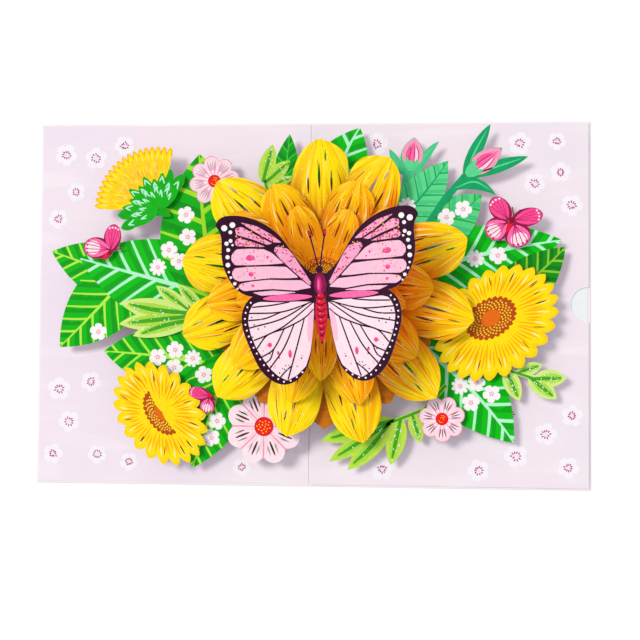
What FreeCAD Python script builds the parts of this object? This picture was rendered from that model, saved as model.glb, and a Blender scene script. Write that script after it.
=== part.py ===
import FreeCAD, Part
import Sketcher
import math
import os

# Pop-up card, opened flat: a folded cover, two liners, a pull-out note in a pocket under the
# right liner, and a tower of card layers over the fold that carries leaves, sprays, a large
# flower in four petal sheets and a butterfly. All sizes in millimetres.
# X runs across both panels, Y up the page, Z up from the table; the origin is on the underside,
# in the middle of the fold.

DRIVING_SIZES = [
    ("panel_width", 152.0),
    ("panel_height", 200.0),
    ("cover_thickness", 0.5),
    ("crease_width", 0.8),
    ("crease_depth", 0.15),
    ("card_thickness", 0.4),
    ("liner_margin", 1.0),
    ("strip_thickness", 0.6),
    ("strip_width", 6.0),
    ("note_thickness", 0.3),
    ("note_side_clearance", 0.5),
    ("note_end_clearance", 1.5),
    ("notch_radius", 9.5),
    ("riser_foot", 6.0),
    ("fold_layer_height", 7.6),
    ("platform_width", 112.0),
    ("platform_depth", 104.0),
    ("platform_x", 5.0),
    ("platform_y", 6.0),
    ("platform_corner", 30.0),
    ("platform_riser_spread", 40.0),
    ("platform_riser_length", 72.0),
    ("platform_lean", 3.0),
    ("spine_offset", 1.5),
    ("flower_height", 14.6),
    ("flower_riser_spread", 26.0),
    ("flower_riser_length", 52.0),
    ("flower_lean", 2.0),
    ("flower_x", 7.6),
    ("flower_y", 12.0),
    ("flat_radius", 14.0),
    ("disc_radius", 9.2),
    ("petal_reach_x", 8.0),
    ("petal_reach_y", 6.0),
    ("flat_step", 1.0),
    ("outer_shoulder_rise", 1.5),
    ("outer_crest_rise", 4.5),
    ("outer_rim_rise", 5.0),
    ("middle_shoulder_rise", 4.0),
    ("middle_crest_rise", 8.0),
    ("middle_rim_rise", 9.0),
    ("inner_shoulder_rise", 5.0),
    ("inner_crest_rise", 10.0),
    ("inner_rim_rise", 12.0),
    ("petal_ridge", 1.2),
    ("butterfly_height", 48.0),
    ("butterfly_x", 8.8),
    ("butterfly_y", 4.0),
    ("butterfly_turn", 3.3),
    ("butterfly_lift", 6.0),
    ("butterfly_lean", 1.2),
    ("butterfly_riser_length", 8.0),
    ("butterfly_riser_inset", 0.4),
    ("thorax_half_width", 3.2),
    ("wing_crease_margin", 0.4),
    ("wing_root_above", 9.0),
    ("wing_root_below", 14.0),
    ("spray_height", 12.0),
    ("tab_foot", 4.5),
    ("tab_length", 8.0),
    ("tab_lean", 0.2),
    ("prop_length", 10.0),
]

doc = FreeCAD.newDocument("PopUpCard")
sizes = doc.addObject("Spreadsheet::Sheet", "Sizes")
for row, (alias, value) in enumerate(DRIVING_SIZES, start=1):
    sizes.set("A%d" % row, alias)
    sizes.set("B%d" % row, str(value))
    sizes.setAlias("B%d" % row, alias)
doc.recompute()

SUB_PARTS = []


def size(alias):
    """The number in one cell of the sheet."""
    return float(getattr(sizes, alias))


def number(expression):
    """The value of an expression over the sheet's cells."""
    return float(sizes.evalExpression(expression))


# Sketched pieces: boards, strips and folded risers

def origin_plane(body, role):
    for feature in body.Origin.OriginFeatures:
        if feature.Role == role:
            return feature


def polygon_sketch(body, name, role, offset, corners):
    """A closed polygon whose corners are pairs of expressions, on one of the body's planes."""
    sketch = body.newObject("Sketcher::SketchObject", name)
    sketch.AttachmentSupport = [(origin_plane(body, role), "")]
    sketch.MapMode = "FlatFace"
    sketch.setExpression("AttachmentOffset.Base.z", offset)
    spots = [FreeCAD.Vector(number(across), number(along), 0) for across, along in corners]
    count = len(spots)
    for index in range(count):
        sketch.addGeometry(Part.LineSegment(spots[index], spots[(index + 1) % count]), False)
    for index in range(count):
        sketch.addConstraint(Sketcher.Constraint("Coincident", index, 2, (index + 1) % count, 1))
    for index, (across, along) in enumerate(corners):
        for kind, expression, value in (("DistanceX", across, spots[index].x),
                                        ("DistanceY", along, spots[index].y)):
            place = sketch.addConstraint(Sketcher.Constraint(kind, -1, 1, index, 1, value))
            sketch.setExpression("Constraints[%d]" % place, expression)
    return sketch


def pad(body, sketch, length):
    feature = body.newObject("PartDesign::Pad", sketch.Name + "Pad")
    feature.Profile = sketch
    feature.setExpression("Length", length)
    return feature


def new_body(label):
    body = doc.addObject("PartDesign::Body", label)
    body.Label = label
    SUB_PARTS.append(body)
    return body


def board(label, left, right, bottom, top, underside, thickness):
    """A rectangular piece of card between four edges, given as expressions."""
    body = new_body(label)
    corners = [(left, bottom), (right, bottom), (right, top), (left, top)]
    outline = polygon_sketch(body, label + "_outline", "XY_Plane", underside, corners)
    pad(body, outline, thickness)
    return body


def riser(label, wall, lean, low, high, back, length, foot):
    """A strip folded to a Z: foot on the lower sheet, leaning wall, flange under the upper one."""
    thick = "Sizes.card_thickness"
    corners = [
        ("%s - %s" % (wall, foot), low),
        ("%s + %s" % (wall, thick), low),
        ("%s + %s + %s" % (wall, lean, thick), "%s - %s" % (high, thick)),
        ("%s + %s + %s + %s" % (wall, lean, thick, foot), "%s - %s" % (high, thick)),
        ("%s + %s + %s + %s" % (wall, lean, thick, foot), high),
        ("%s + %s" % (wall, lean), high),
        (wall, "%s + %s" % (low, thick)),
        ("%s - %s" % (wall, foot), "%s + %s" % (low, thick)),
    ]
    body = new_body(label)
    section = polygon_sketch(body, label + "_section", "XZ_Plane", "-(%s)" % back, corners)
    pad(body, section, length)
    return body


# Free outlines: leaves, petals and wings, drawn flat and cut from one sheet each

def spot(across, along, height=0.0):
    return FreeCAD.Vector(across, along, height)


def bezier(*poles):
    curve = Part.BezierCurve()
    curve.setPoles(list(poles))
    return curve.toShape()


def blade(base, tip, width, base_width=0.0, roundness=0.0, bow=0.0):
    """A leaf or petal outline from base to tip, as a face: two curves and, if wide, a cut base.
    roundness 0 gives a pointed tip and 1 a round one; bow bends the blade to its left."""
    start = spot(*base)
    end = spot(*tip)
    length = (end - start).Length
    forward = (end - start) * (1.0 / length)
    left = spot(-forward.y, forward.x)
    edge = 0.5 * base_width
    reach = (4.0 * width - edge) / 6.0
    shoulder = 0.62 + 0.36 * roundness
    sides = []
    for hand in (1.0, -1.0):
        corner = start + left * (hand * edge)
        low = start + forward * (0.18 * length) + left * (hand * reach + bow)
        high = start + forward * (shoulder * length) + left * (hand * reach + bow)
        sides.append((corner, low, high, end))
    edges = [bezier(*sides[0]), bezier(*reversed(sides[1]))]
    if edge > 0.0:
        edges.append(Part.LineSegment(sides[1][0], sides[0][0]).toShape())
    return Part.Face(Part.Wire(edges))


def strip_face(start, end, width):
    """A straight narrow strip, such as a stem."""
    first = spot(*start)
    last = spot(*end)
    forward = (last - first).normalize()
    side = spot(-forward.y, forward.x) * (0.5 * width)
    corners = [first + side, first - side, last - side, last + side, first + side]
    return Part.Face(Part.makePolygon(corners))


def disc_face(centre, radius):
    return Part.Face(Part.Wire(Part.makeCircle(radius, spot(*centre))))


def raised(face, underside):
    """One sheet of card of that outline, with its underside at that height."""
    lifted = face.copy()
    lifted.translate(spot(0, 0, underside))
    return lifted.extrude(spot(0, 0, size("card_thickness")))


def one_sheet(faces, underside):
    """Overlapping outlines joined to one sheet."""
    solids = [raised(face, underside) for face in faces]
    if len(solids) == 1:
        return solids[0]
    return solids[0].fuse(solids[1:]).removeSplitter()


def add_sheet(label, shape, placement=None):
    feature = doc.addObject("Part::Feature", label)
    feature.Label = label
    if shape.ShapeType == "Compound" and len(shape.Solids) == 1:
        shape = shape.Solids[0]
    feature.Shape = shape
    if placement is not None:
        feature.Placement = placement
    SUB_PARTS.append(feature)
    return feature


def pointed_ring(centre, long_tip, short_tip, valley_share, turn, count, first=0.0, last=360.0):
    """A jagged flower head on an ellipse, whole or a fan closed through its centre, as a face."""
    whole = last - first >= 360.0
    cos_turn = math.cos(math.radians(turn))
    sin_turn = math.sin(math.radians(turn))

    def on_ellipse(angle, share):
        across = long_tip * share * math.cos(math.radians(angle))
        along = short_tip * share * math.sin(math.radians(angle))
        return spot(centre[0] + across * cos_turn - along * sin_turn,
                    centre[1] + across * sin_turn + along * cos_turn)

    step = (last - first) / count
    edges = []
    for index in range(count):
        angle = first + index * step
        valley = on_ellipse(angle, valley_share)
        tip = on_ellipse(angle + 0.5 * step, 1.0)
        beyond = on_ellipse(angle + step, valley_share)
        swell = 0.5 * (1.0 + valley_share)
        rising = on_ellipse(angle + 0.14 * step, swell)
        falling = on_ellipse(angle + 0.86 * step, swell)
        edges.append(Part.Arc(valley, rising, tip).toShape())
        edges.append(Part.Arc(tip, falling, beyond).toShape())
    if not whole:
        middle = spot(*centre)
        edges.append(Part.LineSegment(on_ellipse(last, valley_share), middle).toShape())
        edges.append(Part.LineSegment(middle, on_ellipse(first, valley_share)).toShape())
    return Part.Face(Part.Wire(edges))


# Cover, liners and the pocket with its note

LINER_TOP_LEFT = "Sizes.cover_thickness + Sizes.card_thickness"
POCKET_FLOOR = "Sizes.cover_thickness"
POCKET_ROOF = "Sizes.cover_thickness + Sizes.strip_thickness"
LINER_TOP_RIGHT = "Sizes.cover_thickness + Sizes.strip_thickness + Sizes.card_thickness"
HALF_HEIGHT = "Sizes.panel_height / 2"
LINER_END = "Sizes.panel_height / 2 - Sizes.liner_margin"
CREASE_EDGE = "Sizes.crease_width / 2"
NOTE_END = LINER_END + " - Sizes.strip_width - Sizes.note_side_clearance"
NOTE_BACK = CREASE_EDGE + " + Sizes.strip_width + Sizes.note_side_clearance"

cover = board("cover", "-Sizes.panel_width", "Sizes.panel_width", "-" + HALF_HEIGHT, HALF_HEIGHT,
              "0", "Sizes.cover_thickness")
crease_corners = [("-" + CREASE_EDGE, "-" + HALF_HEIGHT), (CREASE_EDGE, "-" + HALF_HEIGHT),
                  (CREASE_EDGE, HALF_HEIGHT), ("-" + CREASE_EDGE, HALF_HEIGHT)]
crease = polygon_sketch(cover, "crease_outline", "XY_Plane", "Sizes.cover_thickness", crease_corners)
groove = cover.newObject("PartDesign::Pocket", "Crease")
groove.Profile = crease
groove.setExpression("Length", "Sizes.crease_depth")

board("left_liner", "-(Sizes.panel_width - Sizes.liner_margin)", "-" + CREASE_EDGE,
      "-(%s)" % LINER_END, LINER_END, "Sizes.cover_thickness", "Sizes.card_thickness")

pocket_liner = board("pocket_liner", CREASE_EDGE, "Sizes.panel_width - Sizes.liner_margin",
                     "-(%s)" % LINER_END, LINER_END, POCKET_ROOF, "Sizes.card_thickness")


def thumb_notch(body):
    """The half circle in the liner's free edge through which the note is drawn out."""
    sketch = body.newObject("Sketcher::SketchObject", "notch_outline")
    sketch.AttachmentSupport = [(origin_plane(body, "XY_Plane"), "")]
    sketch.MapMode = "FlatFace"
    sketch.setExpression("AttachmentOffset.Base.z", LINER_TOP_RIGHT)
    middle = spot(size("panel_width") - size("liner_margin"), 0)
    sketch.addGeometry(Part.Circle(middle, spot(0, 0, 1), size("notch_radius")), False)
    sketch.addConstraint(Sketcher.Constraint("PointOnObject", 0, 3, -1))
    place = sketch.addConstraint(Sketcher.Constraint("DistanceX", -1, 1, 0, 3, middle.x))
    sketch.setExpression("Constraints[%d]" % place, "Sizes.panel_width - Sizes.liner_margin")
    round_size = sketch.addConstraint(Sketcher.Constraint("Radius", 0, size("notch_radius")))
    sketch.setExpression("Constraints[%d]" % round_size, "Sizes.notch_radius")
    notch = body.newObject("PartDesign::Pocket", "ThumbNotch")
    notch.Profile = sketch
    notch.setExpression("Length", "Sizes.card_thickness")


thumb_notch(pocket_liner)

for label, low_edge, high_edge in (
        ("pocket_strip_top", "%s - Sizes.strip_width" % LINER_END, LINER_END),
        ("pocket_strip_bottom", "-(%s)" % LINER_END, "-(%s - Sizes.strip_width)" % LINER_END)):
    board(label, CREASE_EDGE, "Sizes.panel_width - Sizes.liner_margin", low_edge, high_edge,
          POCKET_FLOOR, "Sizes.strip_thickness")
board("pocket_strip_fold", CREASE_EDGE, CREASE_EDGE + " + Sizes.strip_width",
      "-(%s - Sizes.strip_width)" % LINER_END, "%s - Sizes.strip_width" % LINER_END,
      POCKET_FLOOR, "Sizes.strip_thickness")
board("note_card", NOTE_BACK, "Sizes.panel_width - Sizes.note_end_clearance",
      "-(%s)" % NOTE_END, NOTE_END,
      "Sizes.cover_thickness + (Sizes.strip_thickness - Sizes.note_thickness) / 2",
      "Sizes.note_thickness")

# The platform over the fold and the risers under and over it

PLATFORM_TOP = "Sizes.fold_layer_height + Sizes.card_thickness"


def platform_sheet():
    body = new_body("platform")
    half_width = "Sizes.platform_width / 2"
    half_depth = "Sizes.platform_depth / 2"
    corners = []
    for hand_x, hand_y, first in ((1, 1, "y"), (-1, 1, "x"), (-1, -1, "y"), (1, -1, "x")):
        outer_x = "Sizes.platform_x + (%d) * (%s)" % (hand_x, half_width)
        outer_y = "Sizes.platform_y + (%d) * (%s)" % (hand_y, half_depth)
        cut_x = "Sizes.platform_x + (%d) * (%s - Sizes.platform_corner)" % (hand_x, half_width)
        cut_y = "Sizes.platform_y + (%d) * (%s - Sizes.platform_corner)" % (hand_y, half_depth)
        side = [(outer_x, cut_y), (cut_x, outer_y)]
        corners += side if first == "y" else list(reversed(side))
    outline = polygon_sketch(body, "platform_outline", "XY_Plane", "Sizes.fold_layer_height", corners)
    pad(body, outline, "Sizes.card_thickness")


platform_sheet()
PLATFORM_BACK = "Sizes.platform_y + Sizes.platform_riser_length / 2"
for label, wall, low in (
        ("platform_riser_left",
         "Sizes.platform_x - Sizes.platform_lean - Sizes.platform_riser_spread", LINER_TOP_LEFT),
        ("platform_riser_spine", "-Sizes.spine_offset", LINER_TOP_LEFT),
        ("platform_riser_right",
         "Sizes.platform_x - Sizes.platform_lean + Sizes.platform_riser_spread", LINER_TOP_RIGHT)):
    riser(label, wall, "Sizes.platform_lean", low, "Sizes.fold_layer_height",
          PLATFORM_BACK, "Sizes.platform_riser_length", "Sizes.riser_foot")

FLOWER_BACK = "Sizes.flower_y + Sizes.flower_riser_length / 2"
for label, shift in (("flower_riser_left", " - Sizes.flower_riser_spread"),
                     ("flower_riser_spine", ""),
                     ("flower_riser_right", " + Sizes.flower_riser_spread")):
    riser(label, "Sizes.flower_x - Sizes.flower_lean" + shift, "Sizes.flower_lean", PLATFORM_TOP, "Sizes.flower_height", FLOWER_BACK, "Sizes.flower_riser_length",
          "Sizes.riser_foot")

# Leaves and sprigs, glued to the platform and to each other in thin layers

SHEET = size("card_thickness")
LEAF_FLOOR = number(PLATFORM_TOP)


def leaf_level(layer):
    return LEAF_FLOOR + layer * SHEET


# name, layer, base, tip, width, bow
LEAVES = [
    ("leaf_far_left", 0, (-80, 6), (-143, 28), 32, 0),
    ("leaf_low_left", 1, (-92, 24), (-137.6, -24.8), 36, 1),
    ("leaf_broad_left", 2, (-38, 0), (-127, 24), 46, 0),
    ("leaf_upright_left", 3, (-50, -2), (-61, 81.5), 50, 3),
    ("leaf_lower_left", 0, (-42, -36), (-113, -27), 36, -2),
    ("leaf_bottom_left", 1, (-42, -26), (-63, -90), 36, 0),
    ("leaf_dark_top", 0, (-14, 48), (-11.3, 92.5), 15, 1),
    ("leaf_top_right", 0, (13, 50), (27, 95.8), 30, 5),
    ("leaf_mint_right", 2, (42, 38), (74.7, 77.2), 23, -2),
    ("leaf_pale_right", 1, (58, 32), (92.8, 59), 25, -2),
    ("leaf_broad_right", 0, (50, 14), (136, 34.3), 32, 3),
    ("leaf_dark_right", 1, (88, -10), (137.5, 30.6), 28, -3),
    ("leaf_bottom_right", 0, (50, -16), (110.3, -74.5), 40, 6),
]
for label, layer, base, tip, width, bow in LEAVES:
    add_sheet(label, raised(blade(base, tip, width, roundness=0.1, bow=bow), leaf_level(layer)))

# name, layer, stems as (start, end, width), leaflets as (base, tip, width, bow)
SPRIGS = [
    ("sprig_top_left", 1,
     [((-20, 50), (-25.5, 69), 2.2), ((-25, 66), (-11.5, 76.5), 1.8)],
     [((-26, 66), (-20.6, 86.8), 9, 0), ((-24, 66), (-11.1, 77.8), 8, 0),
      ((-23, 62), (-8, 69), 5, 1)]),
    ("sprig_left", 4,
     [((-44, -6), (-68, -7), 2.6)],
     [((-64, -6), (-104, -0.4), 12, 1), ((-64, -7.4), (-104.4, -12), 11.5, 0),
      ((-62, -9), (-96.5, -18.5), 11, -1), ((-66, -4), (-84, 9), 7.5, 0),
      ((-58, -5), (-72, 10), 7, 0)]),
    ("bud_spray_small", 1,
     [((50, 40), (54, 74), 6)],
     [((54.6, 70), (56.6, 90.2), 13, 0), ((50.5, 70), (43, 84), 4.5, 0),
      ((58, 70), (70, 88), 4.5, 2)]),
    ("bud_spray_tall", 3,
     [((58, 34), (72.5, 56), 3.2), ((72, 55), (84, 69), 3.8)],
     [((83, 68), (103.6, 84), 12, 0), ((83.5, 68.5), (97.5, 97), 7, 1),
      ((86, 69), (117.6, 79.3), 7, 0), ((76, 60.5), (100.4, 58.4), 6.5, 7)]),
    ("sprig_right", 1,
     [((88, -34), (108, -36), 2.4), ((107.6, -35.8), (124, -41), 2.2)],
     [((106, -35.5), (113.2, -52), 9, 0), ((112, -37), (125.2, -32.6), 7, 0),
      ((121, -40), (138, -39.6), 9.5, 0), ((118, -39), (132.7, -50.8), 9.5, 0)]),
    ("sprig_bottom", 1,
     [((74, -44), (62, -57.6), 2.6), ((62.6, -57), (42, -65.4), 2.4)],
     [((44, -64.6), (21.5, -90), 11, 1), ((47, -62.6), (11.4, -85.6), 10.5, 0),
      ((46, -63), (7.2, -74.5), 11.5, 0), ((50, -61.6), (44.6, -87), 10.5, 0),
      ((56, -59.6), (60.6, -75), 8, 0)]),
]
for label, layer, stems, leaflets in SPRIGS:
    faces = [strip_face(start, end, width) for start, end, width in stems]
    for base, tip, width, bow in leaflets:
        faces.append(blade(base, tip, width, base_width=1.2, roundness=0.25, bow=bow))
    add_sheet(label, one_sheet(faces, leaf_level(layer)))

# Props that hold the far leaves off the panels: wall place, front edge, liner below
PROPS = [
    ("leaf_prop_left", -101.0, 20.0, LINER_TOP_LEFT),
    ("leaf_prop_right", 98.0, 32.0, LINER_TOP_RIGHT),
]
for label, wall, back, low in PROPS:
    riser(label, "%.1f" % wall, "Sizes.platform_lean", low, PLATFORM_TOP,
          "%.1f" % back, "Sizes.prop_length", "Sizes.tab_foot")

# Side flowers and small butterflies on tabs

SPRAY_LEVEL = size("spray_height")
PETAL_SWELL = 0.86
SLIT_WIDTH = 0.9


def spokes_of(count, turn):
    """Unit directions at even steps round a flower, the first one turned from +X."""
    angles = [math.radians(turn + 360.0 * index / count) for index in range(count)]
    return [spot(math.cos(angle), math.sin(angle)) for angle in angles]


def open_flower(centre, radius, count, turn, heart):
    """A flat flower of round petals about its heart, as a list of faces to join."""
    middle = spot(*centre)
    width = PETAL_SWELL * 2.0 * radius * math.sin(math.pi / count)
    petals = [disc_face(centre, heart)]
    for forward in spokes_of(count, turn):
        base = middle + forward * (0.3 * heart)
        tip = middle + forward * radius
        petals.append(blade((base.x, base.y), (tip.x, tip.y), width, base_width=0.35 * width,
                            roundness=1.0))
    return petals


def flower_slits(centre, radius, count, turn, length):
    """Two fine slits in each petal of such a flower, as faces to cut out."""
    slits = []
    spacing = 0.32 * PETAL_SWELL * 2.0 * radius * math.sin(math.pi / count)
    for forward in spokes_of(count, turn):
        side = spot(-forward.y, forward.x)
        for shift in (-0.5 * spacing, 0.5 * spacing):
            start = spot(*centre) + forward * (0.62 * radius - 0.5 * length) + side * shift
            end = start + forward * length
            slits.append(blade((start.x, start.y), (end.x, end.y), SLIT_WIDTH))
    return slits


add_sheet("sunflower_top_left", one_sheet([
    pointed_ring((-84.0, 51.0), 34.5, 34.5, 0.91, 0.0, 18, first=74.0, last=180.0),
    pointed_ring((-82.0, 50.0), 23.5, 23.5, 0.78, 0.0, 9, first=48.0, last=214.0),
    blade((-92, 56), (-76, 47), 9, base_width=4)], SPRAY_LEVEL))
add_sheet("sunflower_bottom_left", one_sheet([
    pointed_ring((-80.5, -60.5), 31.5, 22.5, 0.83, -52.0, 21)], SPRAY_LEVEL))
add_sheet("sunflower_right", one_sheet([
    pointed_ring((100.5, -10.5), 37.0, 27.0, 0.86, 40.0, 24)], SPRAY_LEVEL))

# name, centre, radius, petals, turn, heart radius, underside
OPEN_FLOWERS = [
    ("pink_flower_top", (-52.5, 66.5), 14.0, 8, 10.0, 4.5, leaf_level(4)),
    ("pink_flower_bottom", (-23.7, -67.0), 20.6, 8, 22.0, 6.5, SPRAY_LEVEL),
    ("pink_flower_right", (71.8, -61.9), 12.4, 7, 15.0, 4.5, SPRAY_LEVEL),
]
SLITS_IN_PETALS = {"pink_flower_bottom": 7.5}
for label, centre, radius, count, turn, heart, underside in OPEN_FLOWERS:
    sheet = one_sheet(open_flower(centre, radius, count, turn, heart), underside)
    if label in SLITS_IN_PETALS:
        slits = flower_slits(centre, radius, count, turn, SLITS_IN_PETALS[label])
        sheet = sheet.cut([raised(slit, underside) for slit in slits])
    add_sheet(label, sheet)

# name, underside, body as (end, head, width), feeler tips, wings as (root, tip, width)
SMALL_BUTTERFLIES = [
    ("small_butterfly_right", SPRAY_LEVEL, ((105.6, 37.6), (109.6, 46.6), 3.2),
     [(108.8, 51.6), (113.2, 50.2)],
     [((109.0, 44.4), (125.0, 48.0), 9.8), ((109.8, 42.8), (113.8, 30.2), 14.0),
      ((107.0, 44.4), (98.0, 56.4), 10.8), ((106.6, 43.6), (95.2, 36.4), 12.5)]),
    ("small_butterfly_left", SPRAY_LEVEL, ((-113.4, 23.2), (-108.0, 28.0), 3.0),
     [(-102.6, 29.4)],
     [((-109.2, 27.4), (-107.0, 42.6), 9.5), ((-108.6, 28.6), (-124.2, 30.4), 11.8)]),
    ("small_butterfly_low", SPRAY_LEVEL + SHEET, ((-54.6, -49.2), (-50.8, -52.8), 2.2),
     [(-48.8, -53.4)],
     [((-53.2, -51.2), (-64.8, -47.8), 7.0), ((-53.6, -51.8), (-55.4, -60.0), 8.4)]),
]
FEELER_WIDTH = 0.7
for label, underside, (end, head, body_width), feelers, wings in SMALL_BUTTERFLIES:
    faces = [blade(end, head, body_width, base_width=0.8, roundness=0.8)]
    faces += [strip_face(head, feeler, FEELER_WIDTH) for feeler in feelers]
    faces += [blade(root, tip, width, base_width=2.4, roundness=0.85) for root, tip, width in wings]
    add_sheet(label, one_sheet(faces, underside))

# name, wall place, back edge, what it stands on
TABS = [
    ("sunflower_tab_top", -92.0, 68.0, LINER_TOP_LEFT),
    ("sunflower_tab_bottom", -83.0, -58.0, LINER_TOP_LEFT),
    ("sunflower_tab_right", 106.0, -19.0, LINER_TOP_RIGHT),
    ("pink_tab_bottom", -25.5, -63.0, LINER_TOP_LEFT),
    ("pink_tab_right", 68.0, -60.5, LINER_TOP_RIGHT),
    ("butterfly_tab_right", 108.0, 42.0, PLATFORM_TOP + " + Sizes.card_thickness"),
    ("butterfly_tab_left", -114.0, 34.0, PLATFORM_TOP + " + 3 * Sizes.card_thickness"),
]
for label, wall, back, low in TABS:
    riser(label, "%.1f" % wall, "Sizes.tab_lean", low, "Sizes.spray_height",
          "%.1f" % back, "Sizes.tab_length", "Sizes.tab_foot")

# The large flower: a flat lower sheet and three cupped petal sheets glued in its middle

FLOWER_MIDDLE = spot(size("flower_x"), size("flower_y"))
REACH_MIDDLE = spot(size("petal_reach_x"), size("petal_reach_y"))


def petal_ends(tips):
    """The petals' tips in order about the flower's middle."""
    ends = []
    for angle, radius in sorted(tips):
        radians = math.radians(angle)
        ends.append(REACH_MIDDLE + spot(math.cos(radians), math.sin(radians)) * radius)
    return ends


def bearings_of(ends):
    """The directions of the tips and, halfway to the next tip, of the valleys between them."""
    petals = [math.atan2(end.y - FLOWER_MIDDLE.y, end.x - FLOWER_MIDDLE.x) for end in ends]
    valleys = []
    for index, bearing in enumerate(petals):
        following = petals[(index + 1) % len(petals)]
        while following < bearing:
            following += 2.0 * math.pi
        valleys.append(0.5 * (bearing + following))
    return petals, valleys


def outward(bearing, radius, height=0.0):
    return FLOWER_MIDDLE + spot(radius * math.cos(bearing), radius * math.sin(bearing), height)


TIP_ROUNDING = 0.28
SIDE_REACH = 0.42
SIDE_SWELL = 0.46
WIDE_GAP = math.radians(34)


def petal_star(tips, valley_radius, width, slits):
    """A star of petals as one face. tips are (angle, radius) about the petals' own middle; the
    petals part from each other at the valley radius, or nearer the middle where the gap between
    them is wide, and each has the same few slits, given as (share of the way out, shift across,
    length, width)."""
    ends = petal_ends(tips)
    petals, valleys = bearings_of(ends)
    partings = []
    for petal, valley in zip(petals, valleys):
        share = min(1.0, WIDE_GAP / (2.0 * (valley - petal)))
        partings.append(outward(valley, valley_radius * share))
    edges = []
    holes = []
    for index, end in enumerate(ends):
        forward = (end - FLOWER_MIDDLE).normalize()
        left = spot(-forward.y, forward.x)
        before = partings[index - 1]
        after = partings[index]
        full = (end - FLOWER_MIDDLE).Length
        reach = full - valley_radius
        shoulder = end - forward * (TIP_ROUNDING * reach)
        rising = shoulder - left * (SIDE_SWELL * width)
        falling = shoulder + left * (SIDE_SWELL * width)
        edges.append(bezier(before, before + forward * (SIDE_REACH * reach), rising, end))
        edges.append(bezier(end, falling, after + forward * (SIDE_REACH * reach), after))
        for share, shift, length, slit_width in slits:
            start = FLOWER_MIDDLE + forward * (share * full - 0.5 * length) + left * shift
            stop = start + forward * length
            holes.append(blade((start.x, start.y), (stop.x, stop.y), slit_width))
    wires = [Part.Wire(edges)] + [hole.OuterWire for hole in holes]
    return Part.makeFace(wires, "Part::FaceMakerBullseye")


def flat_face(corners):
    return Part.Face(Part.makePolygon(list(corners) + [corners[0]]))


def folded_dish(tips, underside, rings):
    """A dish of card thickness folded between the petals and along each petal's middle. rings
    are (radius, height, ridge height) from the flat middle outwards."""
    petals, valleys = bearings_of(petal_ends(tips))
    spokes = []
    for petal, valley in zip(petals, valleys):
        spokes += [(petal, 1.0), (valley, 0.0)]

    def ring_points(level):
        return [[outward(bearing, radius, level + height + ridge * on_petal)
                 for bearing, on_petal in spokes] for radius, height, ridge in rings]

    low = ring_points(underside)
    high = ring_points(underside + SHEET)
    count = len(spokes)
    faces = [flat_face(low[0]), flat_face(high[0])]
    for layer in (low, high):
        for inner, outer in zip(layer, layer[1:]):
            for index in range(count):
                following = (index + 1) % count
                faces.append(flat_face([inner[index], outer[index], outer[following]]))
                faces.append(flat_face([inner[index], outer[following], inner[following]]))
    for index in range(count):
        following = (index + 1) % count
        faces.append(flat_face([low[-1][index], low[-1][following],
                                high[-1][following], high[-1][index]]))
    dish = Part.makeSolid(Part.makeShell(faces))
    if dish.Volume < 0:
        dish.reverse()
    return dish


def cupped_sheet(tips, valley_radius, width, slits, underside, rings):
    """A petal star cut from a folded dish."""
    highest = max(rise + ridge for radius, rise, ridge in rings) + SHEET
    column = petal_star(tips, valley_radius, width, slits)
    column.translate(spot(0, 0, underside - SHEET))
    column = column.extrude(spot(0, 0, highest + 2.0 * SHEET))
    return folded_dish(tips, underside, rings).common(column)


LOWER_TIPS = [(78, 62), (53, 62), (30, 62), (4, 62), (-27, 64), (-59, 70), (-89, 74), (-119, 69),
              (-149, 63), (-177, 62), (152, 62), (126, 62), (103, 62)]
OUTER_TIPS = [(91.6, 81.5), (63.5, 79.5), (20, 81.5), (-11, 81.7), (-43, 82.8), (-74.6, 83.7),
              (-103.5, 79.9), (-134.5, 79.9), (-162, 78.7), (168, 77.5), (134.5, 82)]
MIDDLE_TIPS = [(115, 62.2), (72, 61), (40, 60), (1, 59), (-35, 61), (-71, 63.6), (-105, 62),
               (-139, 62), (-173, 62), (146, 66)]
INNER_TIPS = [(-90, 48), (-50, 47), (-11, 45), (30, 44), (70.8, 45), (107.5, 46.7), (148, 46),
              (-172, 46), (-131, 47)]
OUTER_SLITS = [(0.7, -6, 12, 1.2), (0.74, 0.5, 15, 1.4), (0.68, 6.5, 11, 1.1), (0.88, -3, 7, 0.9)]
MIDDLE_SLITS = [(0.7, -5, 11, 1.1), (0.74, 0.5, 13, 1.3), (0.69, 5.5, 10, 1.0)]
INNER_SLITS = [(0.66, -3, 9, 1.0), (0.7, 2.5, 10, 1.1)]

stack = size("flower_height")
add_sheet("lower_petals", raised(petal_star(LOWER_TIPS, 52.0, 27.0, []), stack))

# name, layer in the stack, tips, valley radius, petal width, slits, shoulder and crest radius
PETAL_SHEETS = [
    ("outer", 1, OUTER_TIPS, 58.0, 36.0, OUTER_SLITS, 32.0, 56.0),
    ("middle", 2, MIDDLE_TIPS, 43.0, 31.0, MIDDLE_SLITS, 29.0, 48.0),
    ("inner", 3, INNER_TIPS, 28.0, 24.0, INNER_SLITS, 25.0, 40.0),
]
offset = (REACH_MIDDLE - FLOWER_MIDDLE).Length
for name, layer, tips, valley_radius, width, slits, shoulder, crest in PETAL_SHEETS:
    rim = max(radius for angle, radius in tips) + offset + 2.0
    ridge = size("petal_ridge")
    rings = [(size("flat_radius") + size("flat_step") * (3 - layer), 0.0, 0.0),
             (shoulder, size(name + "_shoulder_rise"), 0.3 * ridge),
             (crest, size(name + "_crest_rise"), ridge),
             (rim, size(name + "_rim_rise"), ridge)]
    add_sheet(name + "_petals", cupped_sheet(tips, valley_radius, width, slits,
                                             stack + layer * SHEET, rings))

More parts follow.
